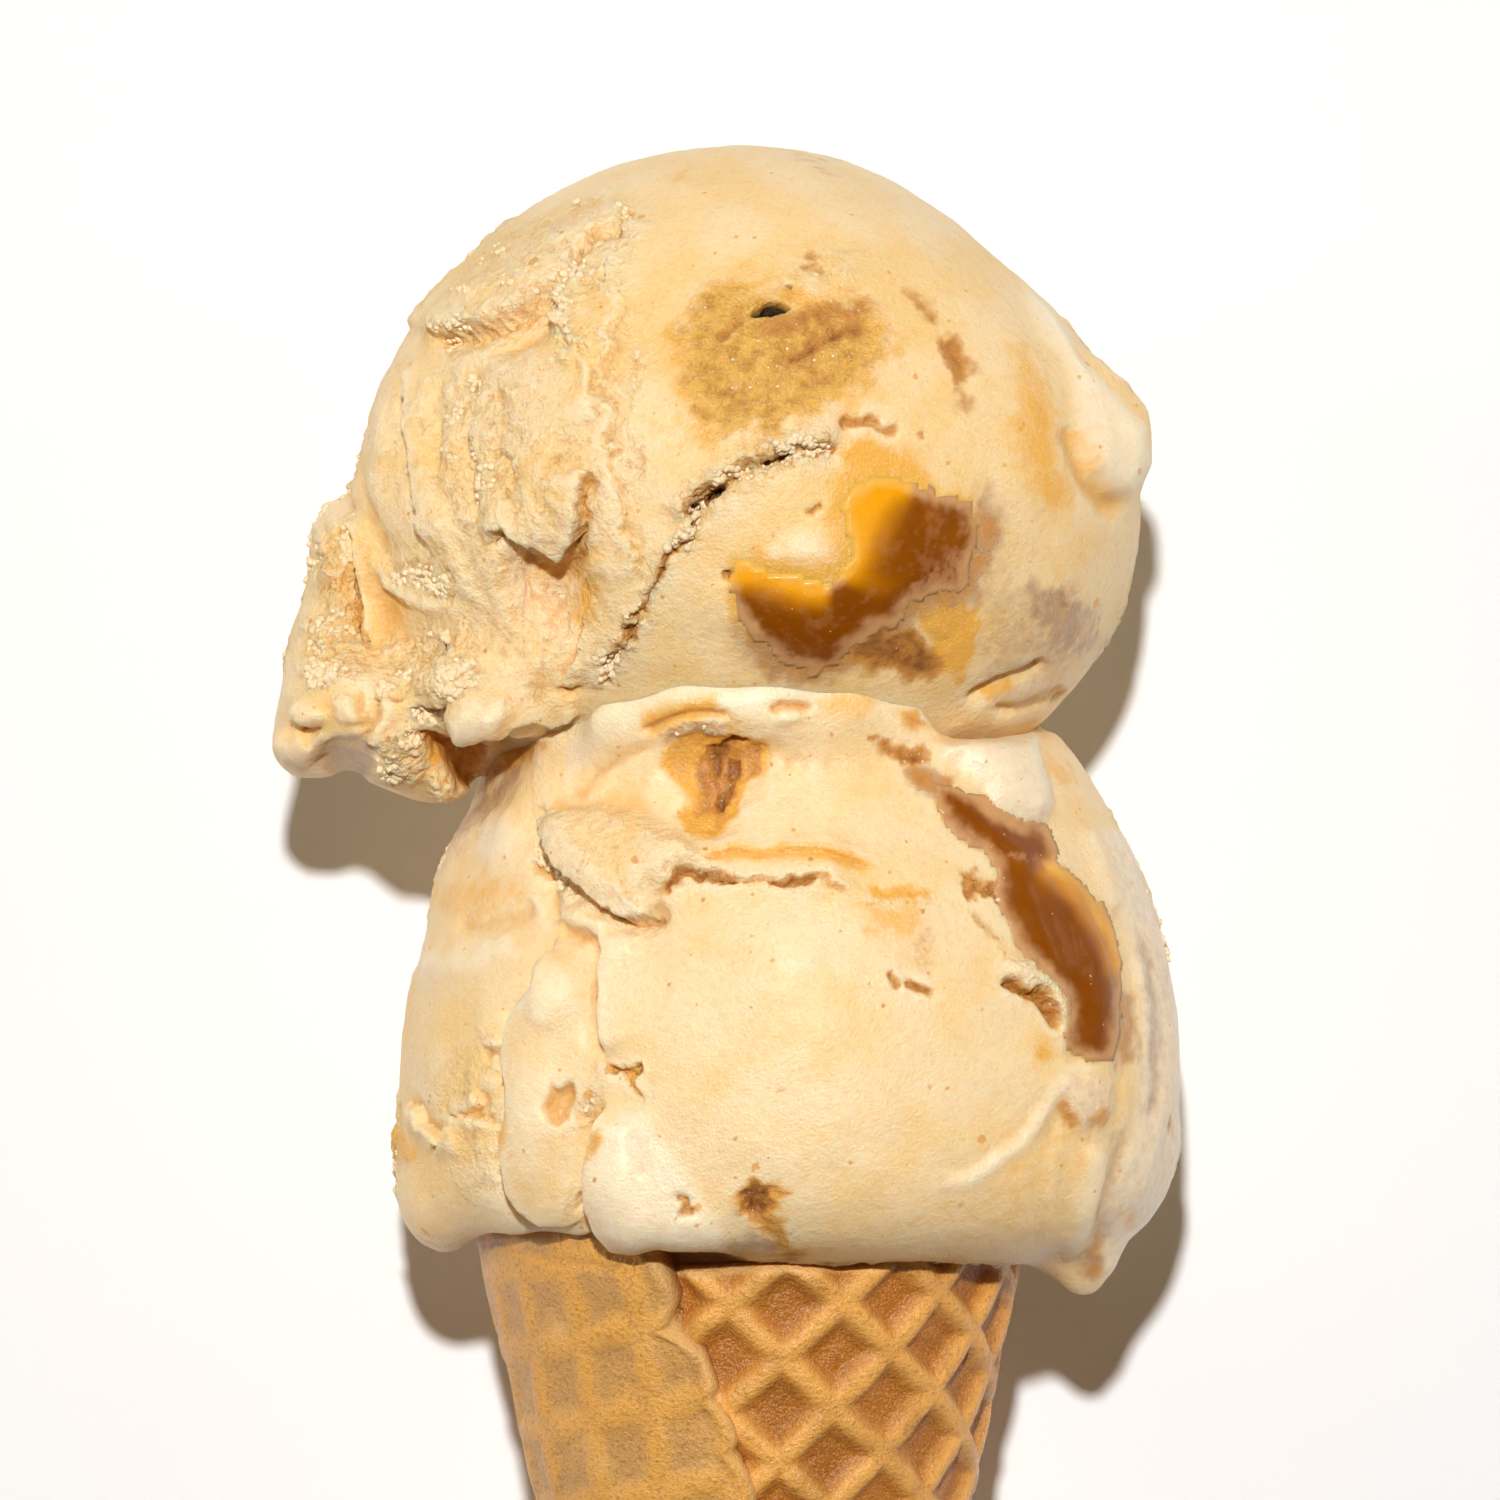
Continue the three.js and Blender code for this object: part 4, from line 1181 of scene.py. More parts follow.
UPPER_MARKS: tuple[Mark, ...] = (
    # The scraped left side: torn upper flap, the hollow under it and the plate that ends in a curled lip.
    # Painted shade in the hollow under the flap.
    Patch("-276,597 -252,626 -222,648 -202,638 -206,608 -237,590", -2.2, 3.0, 0.2, tint(hollow=0.25)),
    Ledge("-327,608 -320,617 -291,621 -255,632 -228,647 -215,665 -211,674", 1.5, 6.0, 0.35, tint(torn=0.6), 1.0,
        drop=1.7, under=1.4, edge=1.0),
    Ledge("-218,659 -199,640 -206,621 -190,608 -206,591", 0.8, 4.0, 0.9, tint(torn=0.8), 0.8, drop=1.0, under=0.7),
    Furrow("-240,590 -230,610 -213,623 -204,633", 0.7, 0.9, 0.2, tint(milk=0.3)),
    Patch("-266,414 -248,436 -207,417 -184,424 -181,387 -195,344 -225,326 -254,356 -267,386", -3.1, 2.8, 0.15,
        tint(milk=0.6)),
    Furrow("-237,417 -213,402 -195,411 -186,417 -182,381 -190,345", 0.0, 1.1, 0.3, tint(gold=0.7), 0.6),
    Ledge("-273,423 -254,445 -237,434 -222,433 -207,421 -194,431 -188,465 -182,501", 1.7, 5.0, 0.55, tint(torn=0.35),
        0.2, drop=1.8, under=0.9),
    Ledge("-174,537 -175,561 -180,591", 0.5, 4.0, 0.5, tint(torn=0.3), 0.5, drop=0.5, under=0.8),
    Ledge("-182,424 -179,381 -189,338 -204,302", 0.7, 4.0, 0.25, tint(gold=0.2), 0.8, drop=0.5, under=0.9),
    Ledge("-340,603 -344,561 -342,519 -333,465 -318,414", 1.1, 4.0, 0.3, tint(torn=0.15), 0.5, drop=0.8, under=1.6),
    Furrow("-279,594 -291,561 -297,519 -285,465 -270,429", -0.9, 0.7, 0.4, tint(torn=0.7), 2.0),
    Furrow("-312,609 -320,549 -315,489 -303,441", -0.5, 0.6, 0.3, tint(torn=0.3), 0.6),
    Furrow("-267,585 -266,543 -254,489 -242,453", -0.8, 0.9, 0.9, tint(torn=0.7), 1.8),
    Furrow("-249,585 -237,543 -246,501", -0.4, 1.0, 0.4, tint(torn=0.4), 1.5),
    Furrow("-333,543 -320,519 -314,489", -0.4, 0.5, 0.4, tint(torn=0.3), 0.6),
    Combed("-254,345 -279,393 -297,441 -303,489 -297,537 -279,591", 0.6, 9.0, 0.2, tint(torn=0.22), pitch=2.1),
    Combed("-327,381 -363,417 -381,477 -382,519", 0.45, 6.0, 0.2, tint(torn=0.12), pitch=1.7),
    # The folds at the upper left, and the torn line where the smooth cap begins.
    Ledge("-215,657 -210,665 -195,681 -178,705 -159,712 -140,736", 0.9, 4.5, 0.4, tint(torn=0.6), 1.0, drop=0.8,
        under=0.9, edge=0.9),
    Ledge("-148,729 -153,693 -170,660 -172,644", 0.6, 4.0, 0.7, tint(torn=0.6), 1.2, drop=0.6, under=0.8),
    Ledge("-147,378 -140,417 -153,465 -165,525 -168,573 -159,633 -150,672", 0.45, 5.0, 0.8, tint(torn=0.35), 1.2,
        drop=0.4, under=0.8),
    Furrow("-132,465 -141,501 -146,543 -141,585 -129,621", -0.3, 0.4, 0.9, tint(torn=0.5), 0.9),
    Patch("-267,603 -165,609 -153,465 -141,321 -189,273 -279,273 -327,327 -333,441 -309,561", 0.0, 4.0, 1.0,
        tint(torn=0.35)),
    Patch("-297,699 -213,735 -141,747 -141,663 -213,657 -297,627 -320,621", 0.0, 3.0, 1.0, tint(torn=0.5)),
    Patch("-387,621 -320,621 -297,681 -213,729 -237,747 -327,687 -381,645", 0.0, 2.0, 1.0, tint(torn=0.35), 0.8),
    # The crumbly crack that runs down from the right, higher on its upper side.
    Ledge("-168,299 -160,318 -154,330 -152,342 -144,357 -134,369 -123,389 -121,405 -117,416 -109,424 -97,436 -87,452 "
        "-76,463", 0.5, 4.0, 0.8, tint(torn=1.0, caramel=0.22, gold=0.3), 0.3, drop=0.8, under=0.6),
    Ledge("-102,440 -93,464 -68,482 -48,496 -37,506 -24,510 -11,513 7,517 29,519 51,517", 0.9, 5.0, 0.5,
        tint(torn=1.0, caramel=0.12, gold=0.4), 0.5, drop=1.4, under=1.2, edge=1.0),
    Furrow("-48,491 -37,500 -24,504 -11,507 3,509 16,507 34,513 49,513", -0.7, 0.3, 0.5, tint(caramel=0.62), 0.1),
    # Painted near-black shade in the crack's deepest part.
    Patch("-96,457 -93,463 -82,468 -68,478 -55,483 -57,475 -68,468 -80,460 -91,455", -3.4, 0.55, 0.2,
        tint(caramel=0.9, dark=0.55), 0.0),
    Furrow("47,529 51,540 69,536 83,543", -0.7, 0.4, 0.5, tint(caramel=0.55), 0.1),
    Furrow("65,536 85,532 101,531", -0.5, 0.35, 0.4, tint(caramel=0.45), 0.1),
    Patch("-117,416 -109,420 -111,395 -121,383 -126,387 -123,403", -0.5, 0.8, 0.9, tint(torn=1.0, caramel=0.72), 0.3),
    Furrow("-165,306 -160,318 -155,330", -0.9, 0.3, 0.5, tint(caramel=0.7), 0.1),
    Furrow("-154,334 -151,342 -142,359", -0.7, 0.25, 0.6, tint(caramel=0.6), 0.1),
    Furrow("12,454 20,460 30,464", -0.7, 0.35, 0.4, tint(caramel=0.5), 0.1),
    Furrow("-57,405 -58,393", -0.8, 0.4, 0.3, tint(caramel=0.8), 0.1),
    # Biscuit crumbs, the hole above them and brown smears.
    Patch("-102,629 -84,651 -37,669 -20,658 3,644 34,653 78,647 71,635 83,618 96,607 87,587 65,569 34,549 -2,533 "
        "-46,524 -73,527 -88,542 -102,569 -106,602", -0.35, 3.0, 1.2, tint(biscuit=1.0), 1.2),
    Patch("-122,635 -37,689 65,662 109,613 87,560 20,524 -68,511 -113,533 -131,591", 0.0, 5.0, 1.6, tint(gold=0.7),
        1.5),
    # The hole and a smaller one, painted near black for their shade.
    Patch("-38,635 -33,642 -24,647 -11,649 1,644 -4,638 -15,635 -26,635", -4.2, 0.45, 0.12, tint(dark=1.0), -0.1),
    Patch("-6,662 -2,664 7,662 1,659", -1.6, 0.3, 0.05, tint(dark=0.8), -0.1),
    Furrow("-38,635 -46,631 -57,625 -67,615", -0.6, 0.35, 0.4, tint(caramel=0.5), 0.1),
    Patch("-24,629 3,640 34,647 65,650 87,649 65,635 20,627 -11,618 -24,613", 0.0, 0.7, 0.9, tint(caramel=0.5), 0.4),
    Furrow("-8,589 3,598 18,608 34,617 49,624 69,621", -0.4, 0.65, 0.6, tint(caramel=0.7), 0.3),
    Patch("-45,595 -35,598 -37,584 -44,582", -0.3, 0.5, 0.5, tint(caramel=0.42), 0.4),
    Patch("-55,560 -42,571 -35,567 -46,555", -0.2, 0.6, 0.6, tint(caramel=0.42), 0.4),
    Furrow("-24,571 3,578 29,584 54,591", -0.25, 0.5, 0.9, tint(caramel=0.2), 0.4),
    Patch("103,653 114,658 129,647 134,629 129,618 123,624 114,638", -0.1, 0.9, 0.6, tint(caramel=0.55), 0.6),
    Patch("127,613 142,614 156,604 165,587 164,569 151,564 142,578 136,591", -0.3, 0.9, 0.8,
        tint(caramel=0.62, film=0.5), 0.6),
    Patch("147,560 162,564 169,551 160,542 149,549", -0.2, 1.0, 0.6, tint(caramel=0.34, film=0.3), 0.7),
    Patch("113,529 120,530 121,523 115,522", -0.2, 0.4, 0.2, tint(caramel=0.62), 0.1),
    Patch("7,682 29,686 34,683 20,675 3,673", -0.3, 0.5, 0.9, tint(caramel=0.36), 0.6),
    Patch("-42,658 7,689 56,693 65,671 20,651 -24,635", 0.0, 1.5, 1.0, tint(torn=0.45, gold=0.25), 1.0),
    Patch("-51,669 -37,673 -22,655 -37,649 -55,655", 0.0, 1.0, 0.9, tint(gold=0.7), 0.8),
    Patch("-3,779 22,777 51,758 33,764", -0.2, 1.0, 0.5, tint(caramel=0.4), 0.5),
    Patch("-106,758 -93,772 -87,770 -99,752", 0.0, 0.8, 0.5, tint(gold=0.8), 0.6),
    Patch("-80,788 -68,790 -63,784 -76,782", 0.0, 0.6, 0.3, tint(gold=0.9), 0.5),
    # Round the pool: the bump of cream that lies over it, yellow where it is thin, brown below.
    Patch("-34,428 9,445 52,445 58,421 47,400 33,391 13,393 -4,398 -22,407", 0.6, 3.0, 0.1, tint(milk=0.3), 0.0),
    Furrow("-61,414 -50,412 -22,403 13,393 34,392 47,400 57,423 52,454 61,475 81,490 112,486 144,477", 0.0, 1.7, 0.4,
        tint(gold=1.0), 0.6),
    Furrow("153,495 176,468 178,441 171,414 158,385 122,380 102,373 94,355 63,333 36,317 9,315 -18,322 -43,346 "
        "-54,378", 0.0, 1.0, 0.6, tint(caramel=0.32, film=0.75), 0.6),
    Patch("47,516 96,520 105,496 76,484 54,491", 0.0, 1.4, 1.0, tint(gold=1.1), 0.8),
    Patch("63,356 109,354 126,341 140,314 136,305 101,310 63,314 40,318", -0.2, 1.6, 0.8,
        tint(caramel=0.78, film=0.8), 0.4),
    Patch("111,376 163,376 167,351 163,322 146,306 136,310 126,333 121,356", 0.0, 0.9, 0.8, tint(gold=1.2), 0.4),
    Patch("65,351 92,354 109,347 86,339 65,337", 0.0, 1.0, 0.8, tint(gold=0.9), 0.4),
    Patch("63,376 101,383 140,387 155,406 171,381 163,374 121,375 101,370", 0.1, 1.2, 0.5, tint(milk=0.4), 0.3),
    # The right side: mauve film, creases and the drip.
    Patch("211,402 247,391 276,372 274,337 267,326 236,318 232,341 213,364 205,385", 0.0, 2.0, 1.2,
        tint(film=0.75, caramel=0.1), 1.0),
    Patch("167,395 236,402 276,376 267,322 236,291 178,283 167,306 163,356", 0.0, 2.6, 1.0, tint(film=0.35), 1.2),
    Combed("236,322 251,345 257,368 253,395", 0.35, 4.0, 0.2, (), pitch=1.0),
    Combed("171,291 186,314 195,337 197,366", 0.16, 9.0, 0.3, (), pitch=0.9),
    # Two creases, with painted shade along them.
    Furrow("236,322 220,313 205,307 188,301 171,291 159,282", -1.2, 0.55, 0.2, tint(hollow=0.5), 0.1),
    Furrow("249,299 236,289 220,282 205,277 182,280", -0.9, 0.55, 0.2, tint(hollow=0.4), 0.1),
    Patch("171,291 205,305 201,297 178,285", 0.0, 0.6, 0.3, tint(gold=1.0), 0.3),
    Patch("201,672 237,639 262,597 298,562 322,536 327,500 307,467 281,473 263,494 256,531 243,585 213,633", 1.3, 2.0,
        0.08, tint(milk=0.95), 0.3),
    Furrow("246,537 258,507 270,483 285,465 306,461", -0.7, 0.8, 0.08, tint(gold=0.5), 0.6),
    Patch("195,621 237,585 249,537 261,465 231,441 195,513", 0.0, 2.4, 0.8, tint(gold=0.7), 1.6),
    Furrow("213,573 225,537 231,489 237,453", 0.0, 0.9, 0.5, tint(gold=0.8), 0.4),
    # The torn shelf at the lower left: two fingers, a flat shaded face, a drooping nose and the dark hollow below.
    Patch("-392,486 -393,458 -410,447 -417,437 -422,426 -426,415 -424,400 -426,384 -420,369 -433,363 -441,356 "
        "-440,348 -433,346 -436,335 -433,324 -443,318 -440,307 -437,298 -382,305 -375,335 -386,378 -392,421", 0.0,
        0.8, 0.3, tint(torn=1.0), 0.6),
    Ledge("-393,454 -392,421 -388,389 -383,363 -381,337", 0.8, 3.0, 0.15, tint(gold=0.4), 0.8, drop=1.6, under=1.4),
    Patch("-382,469 -366,473 -347,443 -330,421 -330,413 -364,404 -347,384 -317,372 -347,363 -356,348 -377,335 "
        "-382,348 -385,389 -388,432", -0.6, 2.4, 0.2, (), 0.0),
    Furrow("-366,403 -351,391 -338,380 -321,373 -308,372", 0.6, 0.45, 0.3, tint(milk=0.3), 0.2),
    Patch("-369,410 -330,415 -295,410 -300,391 -308,378 -338,387 -364,402", -0.4, 1.2, 0.8, tint(torn=0.8), 0.5),
    Patch("-382,322 -356,348 -317,356 -278,348 -274,322 -278,296 -304,283 -338,292 -364,307", 0.3, 2.0, 0.8,
        tint(torn=1.0), 0.6),
    Patch("-375,302 -362,305 -347,292 -356,289 -369,294", -0.9, 0.7, 0.5, tint(torn=1.0, caramel=0.3), 0.2),
    Patch("-317,356 -304,352 -304,326 -312,330", 0.7, 0.7, 0.5, tint(torn=0.9, milk=0.5), 0.1),
    Patch("-452,285 -440,291 -425,288 -416,279 -417,268 -429,261 -442,264 -451,270", 1.3, 1.2, 0.2, tint(milk=0.3),
        0.0),
    Patch("-417,292 -403,298 -388,292 -384,274 -390,261 -405,264 -416,272", 0.9, 1.2, 0.3, tint(milk=0.2), 0.0),
    Patch("-466,259 -455,266 -442,262 -425,260 -412,255 -416,238 -436,227 -455,231 -466,242", 1.2, 1.3, 0.15,
        tint(milk=0.2), 0.0),
    Patch("-429,255 -382,257 -366,248 -373,227 -382,210 -397,207 -414,220 -431,231", -0.6, 1.0, 0.2, tint(film=0.55),
        0.2),
    # A crease with painted shade.
    Furrow("-442,260 -433,257 -423,259", -0.9, 0.4, 0.2, tint(hollow=0.3), 0.2),
    Ledge("-364,302 -369,279 -375,257 -386,246", 0.6, 2.0, 0.3, (), drop=1.0, under=0.8),
    Furrow("-385,300 -386,281 -383,268 -390,257", -0.7, 0.5, 0.3, (), 0.0),
    Patch("-364,257 -347,270 -328,253 -324,231 -330,212 -347,212 -362,212 -373,231", 0.5, 1.6, 0.5, tint(torn=1.0),
        0.3),
    Patch("-345,283 -308,285 -304,270 -312,262 -338,266", -1.4, 0.8, 0.4, tint(torn=0.8, film=0.6), 0.2),
    # The dark hollow, with painted shade as well as caramel.
    Patch("-347,262 -330,260 -308,257 -289,251 -274,254 -269,246 -270,227 -274,207 -282,203 -300,207 -310,227 "
        "-325,242 -338,253", -2.4, 1.6, 0.3, tint(caramel=0.6, dark=0.25), 0.3),
    Patch("-324,246 -312,248 -308,233 -317,227 -323,231", 0.0, 0.8, 0.4, tint(gold=1.0), 0.3),
    Patch("-328,229 -317,227 -304,216 -297,203 -312,198 -324,199 -329,207", 0.9, 0.9, 0.3, tint(torn=0.7), 0.2),
    Patch("-308,279 -295,292 -278,296 -256,292 -252,279 -265,259 -278,253 -295,251 -306,259 -309,270", 2.0, 1.7, 0.12,
        tint(milk=0.55), 0.3),
    Ledge("-269,254 -252,266 -230,270 -215,266 -207,270 -187,276", 0.9, 3.5, 0.2, tint(milk=0.3), 0.3, drop=1.2,
        under=1.0),
    Patch("-274,322 -239,330 -209,335 -185,326 -187,296 -204,296 -217,305 -243,283 -261,292", 0.4, 1.6, 0.5,
        tint(milk=0.3), 0.3),
    Furrow("-209,302 -200,295 -185,300", -0.6, 0.4, 0.3, tint(gold=0.5), 0.4),
    Furrow("-295,352 -291,330 -278,313 -282,292", -0.4, 0.8, 0.5, tint(torn=0.4), 0.8),
)

LOWER_MARKS: tuple[Mark, ...] = (
    # The melted collar against the upper scoop, and the creases under it.
    Patch("-207,248 -187,275 -166,289 -140,303 -109,314 -81,319 -52,318 -34,316 -19,318 -3,312 38,314 79,306 79,289 "
        "46,291 19,280 7,284 -7,284 -23,273 -52,273 -76,277 -109,271 -138,259 -166,240 -187,218 -207,197", 0.0, 1.6,
        0.1, tint(milk=0.75), 0.6),
    Patch("-264,333 154,368 246,275 316,43 316,-190 270,-248 -230,-248 -299,-73 -299,159", 0.0, 8.0, 0.6,
        tint(milk=0.27), 2.0),
    # A crease under the collar, with painted shade.
    Furrow("-138,258 -123,263 -109,270 -93,275 -81,276 -64,274 -51,272", -0.9, 0.4, 0.15, tint(hollow=0.6), 0.1),
    Furrow("-195,199 -170,222 -146,238 -121,248", -0.5, 0.6, 0.2, (), 0.0),
    # A short crease with painted shade.
    Furrow("-20,276 -7,283 7,283 20,279", -1.0, 0.35, 0.1, tint(hollow=0.7), 0.1),
    Patch("-17,276 -5,281 9,280 13,269 -3,263 -15,267", 0.5, 0.8, 0.1, tint(milk=0.5), 0.1),
    Patch("7,289 28,288 58,301 79,297 70,269 34,269", 0.0, 1.4, 0.6, tint(gold=0.6), 0.8),
    Furrow("-140,262 -121,269 -109,273 -76,282 -56,280", 0.0, 0.5, 0.3, tint(gold=0.8), 0.9),
    Furrow("-52,330 -44,334 -36,330 -38,320 -46,318", 0.35, 0.4, 0.1, tint(milk=0.2), 0.1),
    # The dip that holds a lump of toffee, golden round a brown crack.
    Patch("-116,263 -79,277 -44,273 -8,259 3,237 -21,194 -67,159 -96,165 -114,199 -123,234", -0.9, 2.6, 0.7, (), 0.0),
    Patch("-119,259 -76,269 -52,263 -64,250 -93,250 -113,248", 0.1, 1.0, 0.6, tint(film=0.45, torn=0.5), 0.4),
    Patch("-117,232 -93,250 -68,255 -44,259 -21,242 -23,228 -36,222 -40,206 -48,189 -62,181 -74,169 -95,165 -101,187 "
        "-95,201 -105,216", -0.3, 1.2, 0.7, tint(gold=1.3, torn=0.25), 0.7),
    Patch("-91,230 -64,238 -56,252 -44,255 -36,244 -23,242 -30,228 -46,222 -56,208 -64,189 -74,187 -87,187 -93,204 "
        "-87,216", -0.3, 0.9, 0.9, tint(caramel=0.56), 0.5),
    Furrow("-76,230 -66,231 -56,236 -46,248 -38,244", -0.7, 0.45, 0.7, tint(caramel=0.85), 0.3),
    Furrow("-48,230 -55,216 -64,208 -70,193", -0.7, 0.45, 0.7, tint(caramel=0.85), 0.3),
    Patch("-85,226 -72,228 -66,218 -68,206 -76,187 -82,189 -74,210", 0.6, 0.8, 0.5, tint(milk=0.8, film=0.4), 0.1),
    # A golden stain in the neck, seen through the film of melted ice cream.
    Patch("-254,252 -213,252 -219,243 -238,233 -250,218 -260,221", 0.0, 1.6, 0.6, tint(caramel=0.42, gold=1.0), 0.9),
    Patch("-266,233 -238,227 -247,199 -266,183 -291,158 -313,137 -322,118 -316,149 -307,177 -288,196 -272,208", 0.0,
        1.4, 0.5, tint(film=0.7), 0.7),
    Furrow("-266,199 -285,177 -303,149 -318,121", 0.3, 0.4, 0.2, (), 0.0),
    Furrow("-258,196 -275,174 -296,158", 0.25, 0.35, 0.2, tint(milk=0.4), 0.1),
    # The folded flap, the crack that runs on from it, and the tongue below it.
    Patch("-217,180 -195,192 -165,196 -124,187 -89,163 -67,141 -96,132 -120,116 -125,95 -147,95 -177,112 -201,134 "
        "-220,158", 1.2, 2.4, 0.3, tint(torn=0.28), 0.2),
    Ledge("-219,196 -220,177 -213,158 -194,130 -176,115 -163,99 -144,91 -125,92 -121,115", 1.7, 4.5, 0.3,
        tint(torn=0.35), 0.1, drop=2.2, under=1.2),
    Ledge("-125,95 -120,117 -96,132 -67,130 -19,126 27,132 39,117 64,114", 0.6, 4.5, 0.6, tint(torn=0.4, gold=0.3),
        0.1, drop=0.6, under=0.45, edge=0.6),
    Furrow("-118,115 -96,129 -67,127 -44,123", -0.8, 0.28, 0.5, tint(caramel=0.6), 0.1),
    Furrow("-21,123 3,127 27,130", -0.6, 0.25, 0.5, tint(caramel=0.6), 0.1),
    Furrow("72,117 96,114 125,112", -0.25, 0.3, 0.6, tint(gold=0.9), 0.3),
    Patch("-235,160 -222,149 -207,130 -188,115 -201,108 -213,107 -218,115 -221,127 -232,143", -0.7, 0.8, 0.5,
        tint(torn=0.8), 0.2),
    Ledge("-208,88 -194,81 -180,79 -172,72 -170,59 -172,34 -172,2 -169,-19 -162,-38", 1.0, 5.0, 0.15, (), drop=1.0,
        under=1.2),
    Patch("-218,102 -201,105 -182,111 -166,102 -144,91 -151,84 -169,77 -182,80 -194,82 -207,87", 0.7, 1.0, 0.15, (),
        0.0),
    Patch("-169,71 -144,87 -126,88 -135,71 -151,49 -157,48 -166,57", 0.25, 0.7, 0.05, tint(milk=0.3), 0.1),
    Furrow("-154,48 -132,55 -99,62", -0.2, 0.3, 0.1, (), 0.0),
    Ledge("-90,146 -44,152 26,150 87,138", 0.4, 3.0, 0.15, tint(gold=0.8), 0.3, drop=0.4, under=0.5, edge=0.4),
    Patch("-9,133 37,133 84,112 130,117 148,101 72,95 3,112", 0.0, 1.2, 0.8, tint(torn=0.35), 0.8),
    # The notch in the plate's left edge, and the thin line round its lower right.
    Patch("-166,-38 -154,-41 -144,-38 -132,-33 -129,-44 -137,-51 -129,-63 -134,-73 -140,-64 -144,-54 -154,-50 "
        "-165,-48", -1.5, 0.7, 0.3, tint(torn=1.0, gold=0.7), 0.1),
    Patch("-201,-101 -182,-85 -166,-69 -157,-48 -169,-38 -182,-60 -194,-79", 0.0, 1.0, 0.6, tint(torn=0.8), 0.5),
    Furrow("135,-151 160,-143 186,-125 208,-109 227,-84 240,-62 249,-47 272,-43 288,-50", 0.5, 0.75, 0.12,
        tint(milk=0.6), 0.3),
    Furrow("135,-141 160,-133 183,-117 203,-103 222,-79 235,-59", -0.25, 0.8, 0.15, (), 0.0),
    Patch("3,-172 96,-165 165,-144 217,-108 248,-73 281,-108 258,-190 235,-219 154,-219 37,-216", 0.0, 3.0, 0.5,
        tint(gold=0.25), 0.5),
    # The folds down the left side: each leans over the one to its left.
    Ledge("-209,82 -213,62 -222,40 -225,27 -244,6 -250,-13 -253,-38 -249,-60 -249,-85 -254,-107 -254,-126 -249,-150 "
        "-238,-169 -222,-180 -201,-186 -182,-182", 1.3, 5.0, 0.1, tint(milk=0.45), 0.5, drop=1.6, under=1.3),
    # A crease with painted shade.
    Furrow("-219,137 -221,118 -215,99 -208,87", -1.2, 0.6, 0.2, tint(hollow=0.3), 0.1),
    Furrow("-213,62 -216,40 -219,15 -220,-13", 0.35, 0.7, 0.1, tint(milk=0.4), 0.2),
    Patch("-213,-55 -207,-60 -199,-55 -191,-57 -191,-69 -196,-79 -201,-90 -210,-96 -216,-91 -221,-80 -216,-66", -1.5,
        0.8, 0.25, tint(gold=0.4), 0.0),
    # A small hollow with painted shade.
    Patch("-194,-157 -182,-157 -180,-175 -194,-173 -197,-165", -1.2, 0.6, 0.15, tint(hollow=0.5), 0.0),
    Patch("-252,-57 -246,-60 -244,-107 -250,-122 -254,-101", 0.0, 0.5, 0.1, tint(gold=0.9), 0.3),
    Patch("-279,-7 -250,-16 -254,-60 -250,-166 -297,-163 -310,-107 -332,-79 -303,-29", -0.3, 1.2, 0.6,
        tint(torn=0.35), 0.4),
    Ledge("-269,-97 -279,-89 -300,-88 -282,-76 -284,-60", 0.6, 1.8, 0.25, tint(torn=0.2), 0.3, drop=0.7, under=0.8),
    Ledge("-307,-91 -312,-111 -328,-95 -335,-79 -347,-72", 0.9, 2.0, 0.3, tint(torn=0.15), 0.2, drop=0.8, under=0.7),
    Ledge("-282,-26 -269,-26 -253,-23", 0.4, 1.6, 0.3, tint(torn=0.3), 0.2, drop=0.7, under=0.6),
    Furrow("-239,27 -225,29", -0.6, 0.3, 0.2, tint(caramel=0.3), 0.1),
    Furrow("-302,84 -275,88 -250,94 -229,105", -0.6, 1.0, 0.25, tint(gold=0.3), 0.8),
    Furrow("-335,62 -313,46 -282,52 -238,68", 0.4, 1.4, 0.3, tint(milk=0.5), 0.6),
    # A short crease with painted shade.
    Furrow("-235,143 -229,136 -221,131", -1.0, 0.4, 0.2, tint(hollow=0.9), 0.1),
    Patch("-275,190 -244,196 -232,171 -238,146 -266,127 -291,149", 0.8, 2.6, 0.3, tint(milk=0.7), 0.8),
    Patch("-344,118 -325,127 -322,96 -335,52 -344,34 -346,77", 0.3, 1.0, 0.2, tint(milk=0.9, film=0.3), 0.4),
    Furrow("-335,118 -328,96 -332,71 -339,40", -0.4, 0.5, 0.2, (), 0.0),
    Patch("-322,121 -275,133 -232,127 -235,108 -266,90 -303,87 -325,96", 0.0, 2.0, 0.6, tint(gold=0.5), 0.8),
    Furrow("-375,-91 -357,-101 -346,-113 -341,-132", 0.4, 0.8, 0.3, tint(gold=0.9), 0.3),
    # The rolled lip over the rim of the cone, and the brown piece beside it.
    Patch("-176,-98 -153,-75 -125,-75 -96,-121 -50,-191 -55,-214 -125,-214 -170,-191 -180,-144", 0.5, 3.0, 0.15,
        tint(milk=0.85), 0.3),
    Ledge("-162,-71 -175,-94 -180,-116 -183,-141 -181,-166 -175,-185 -162,-200 -144,-209 -119,-214", 1.2, 5.0, 0.08,
        (), drop=1.6, under=1.2),
    Patch("-175,-101 -165,-96 -162,-110 -169,-126 -178,-129", 0.0, 0.7, 0.2, tint(gold=0.8, film=0.3), 0.3),
    Furrow("-138,-97 -134,-119 -129,-141", -0.3, 0.6, 0.3, (), 0.0),
    Furrow("-104,-158 -94,-162 -95,-174 -84,-171", -0.9, 0.3, 0.2, tint(caramel=0.5), 0.1),
    Patch("-51,-173 -41,-150 -17,-146 -4,-160 -14,-173 -4,-197 10,-213 -17,-213 -30,-190", -0.3, 0.6, 0.7,
        tint(gold=1.0, caramel=0.4, torn=0.3), 0.9),
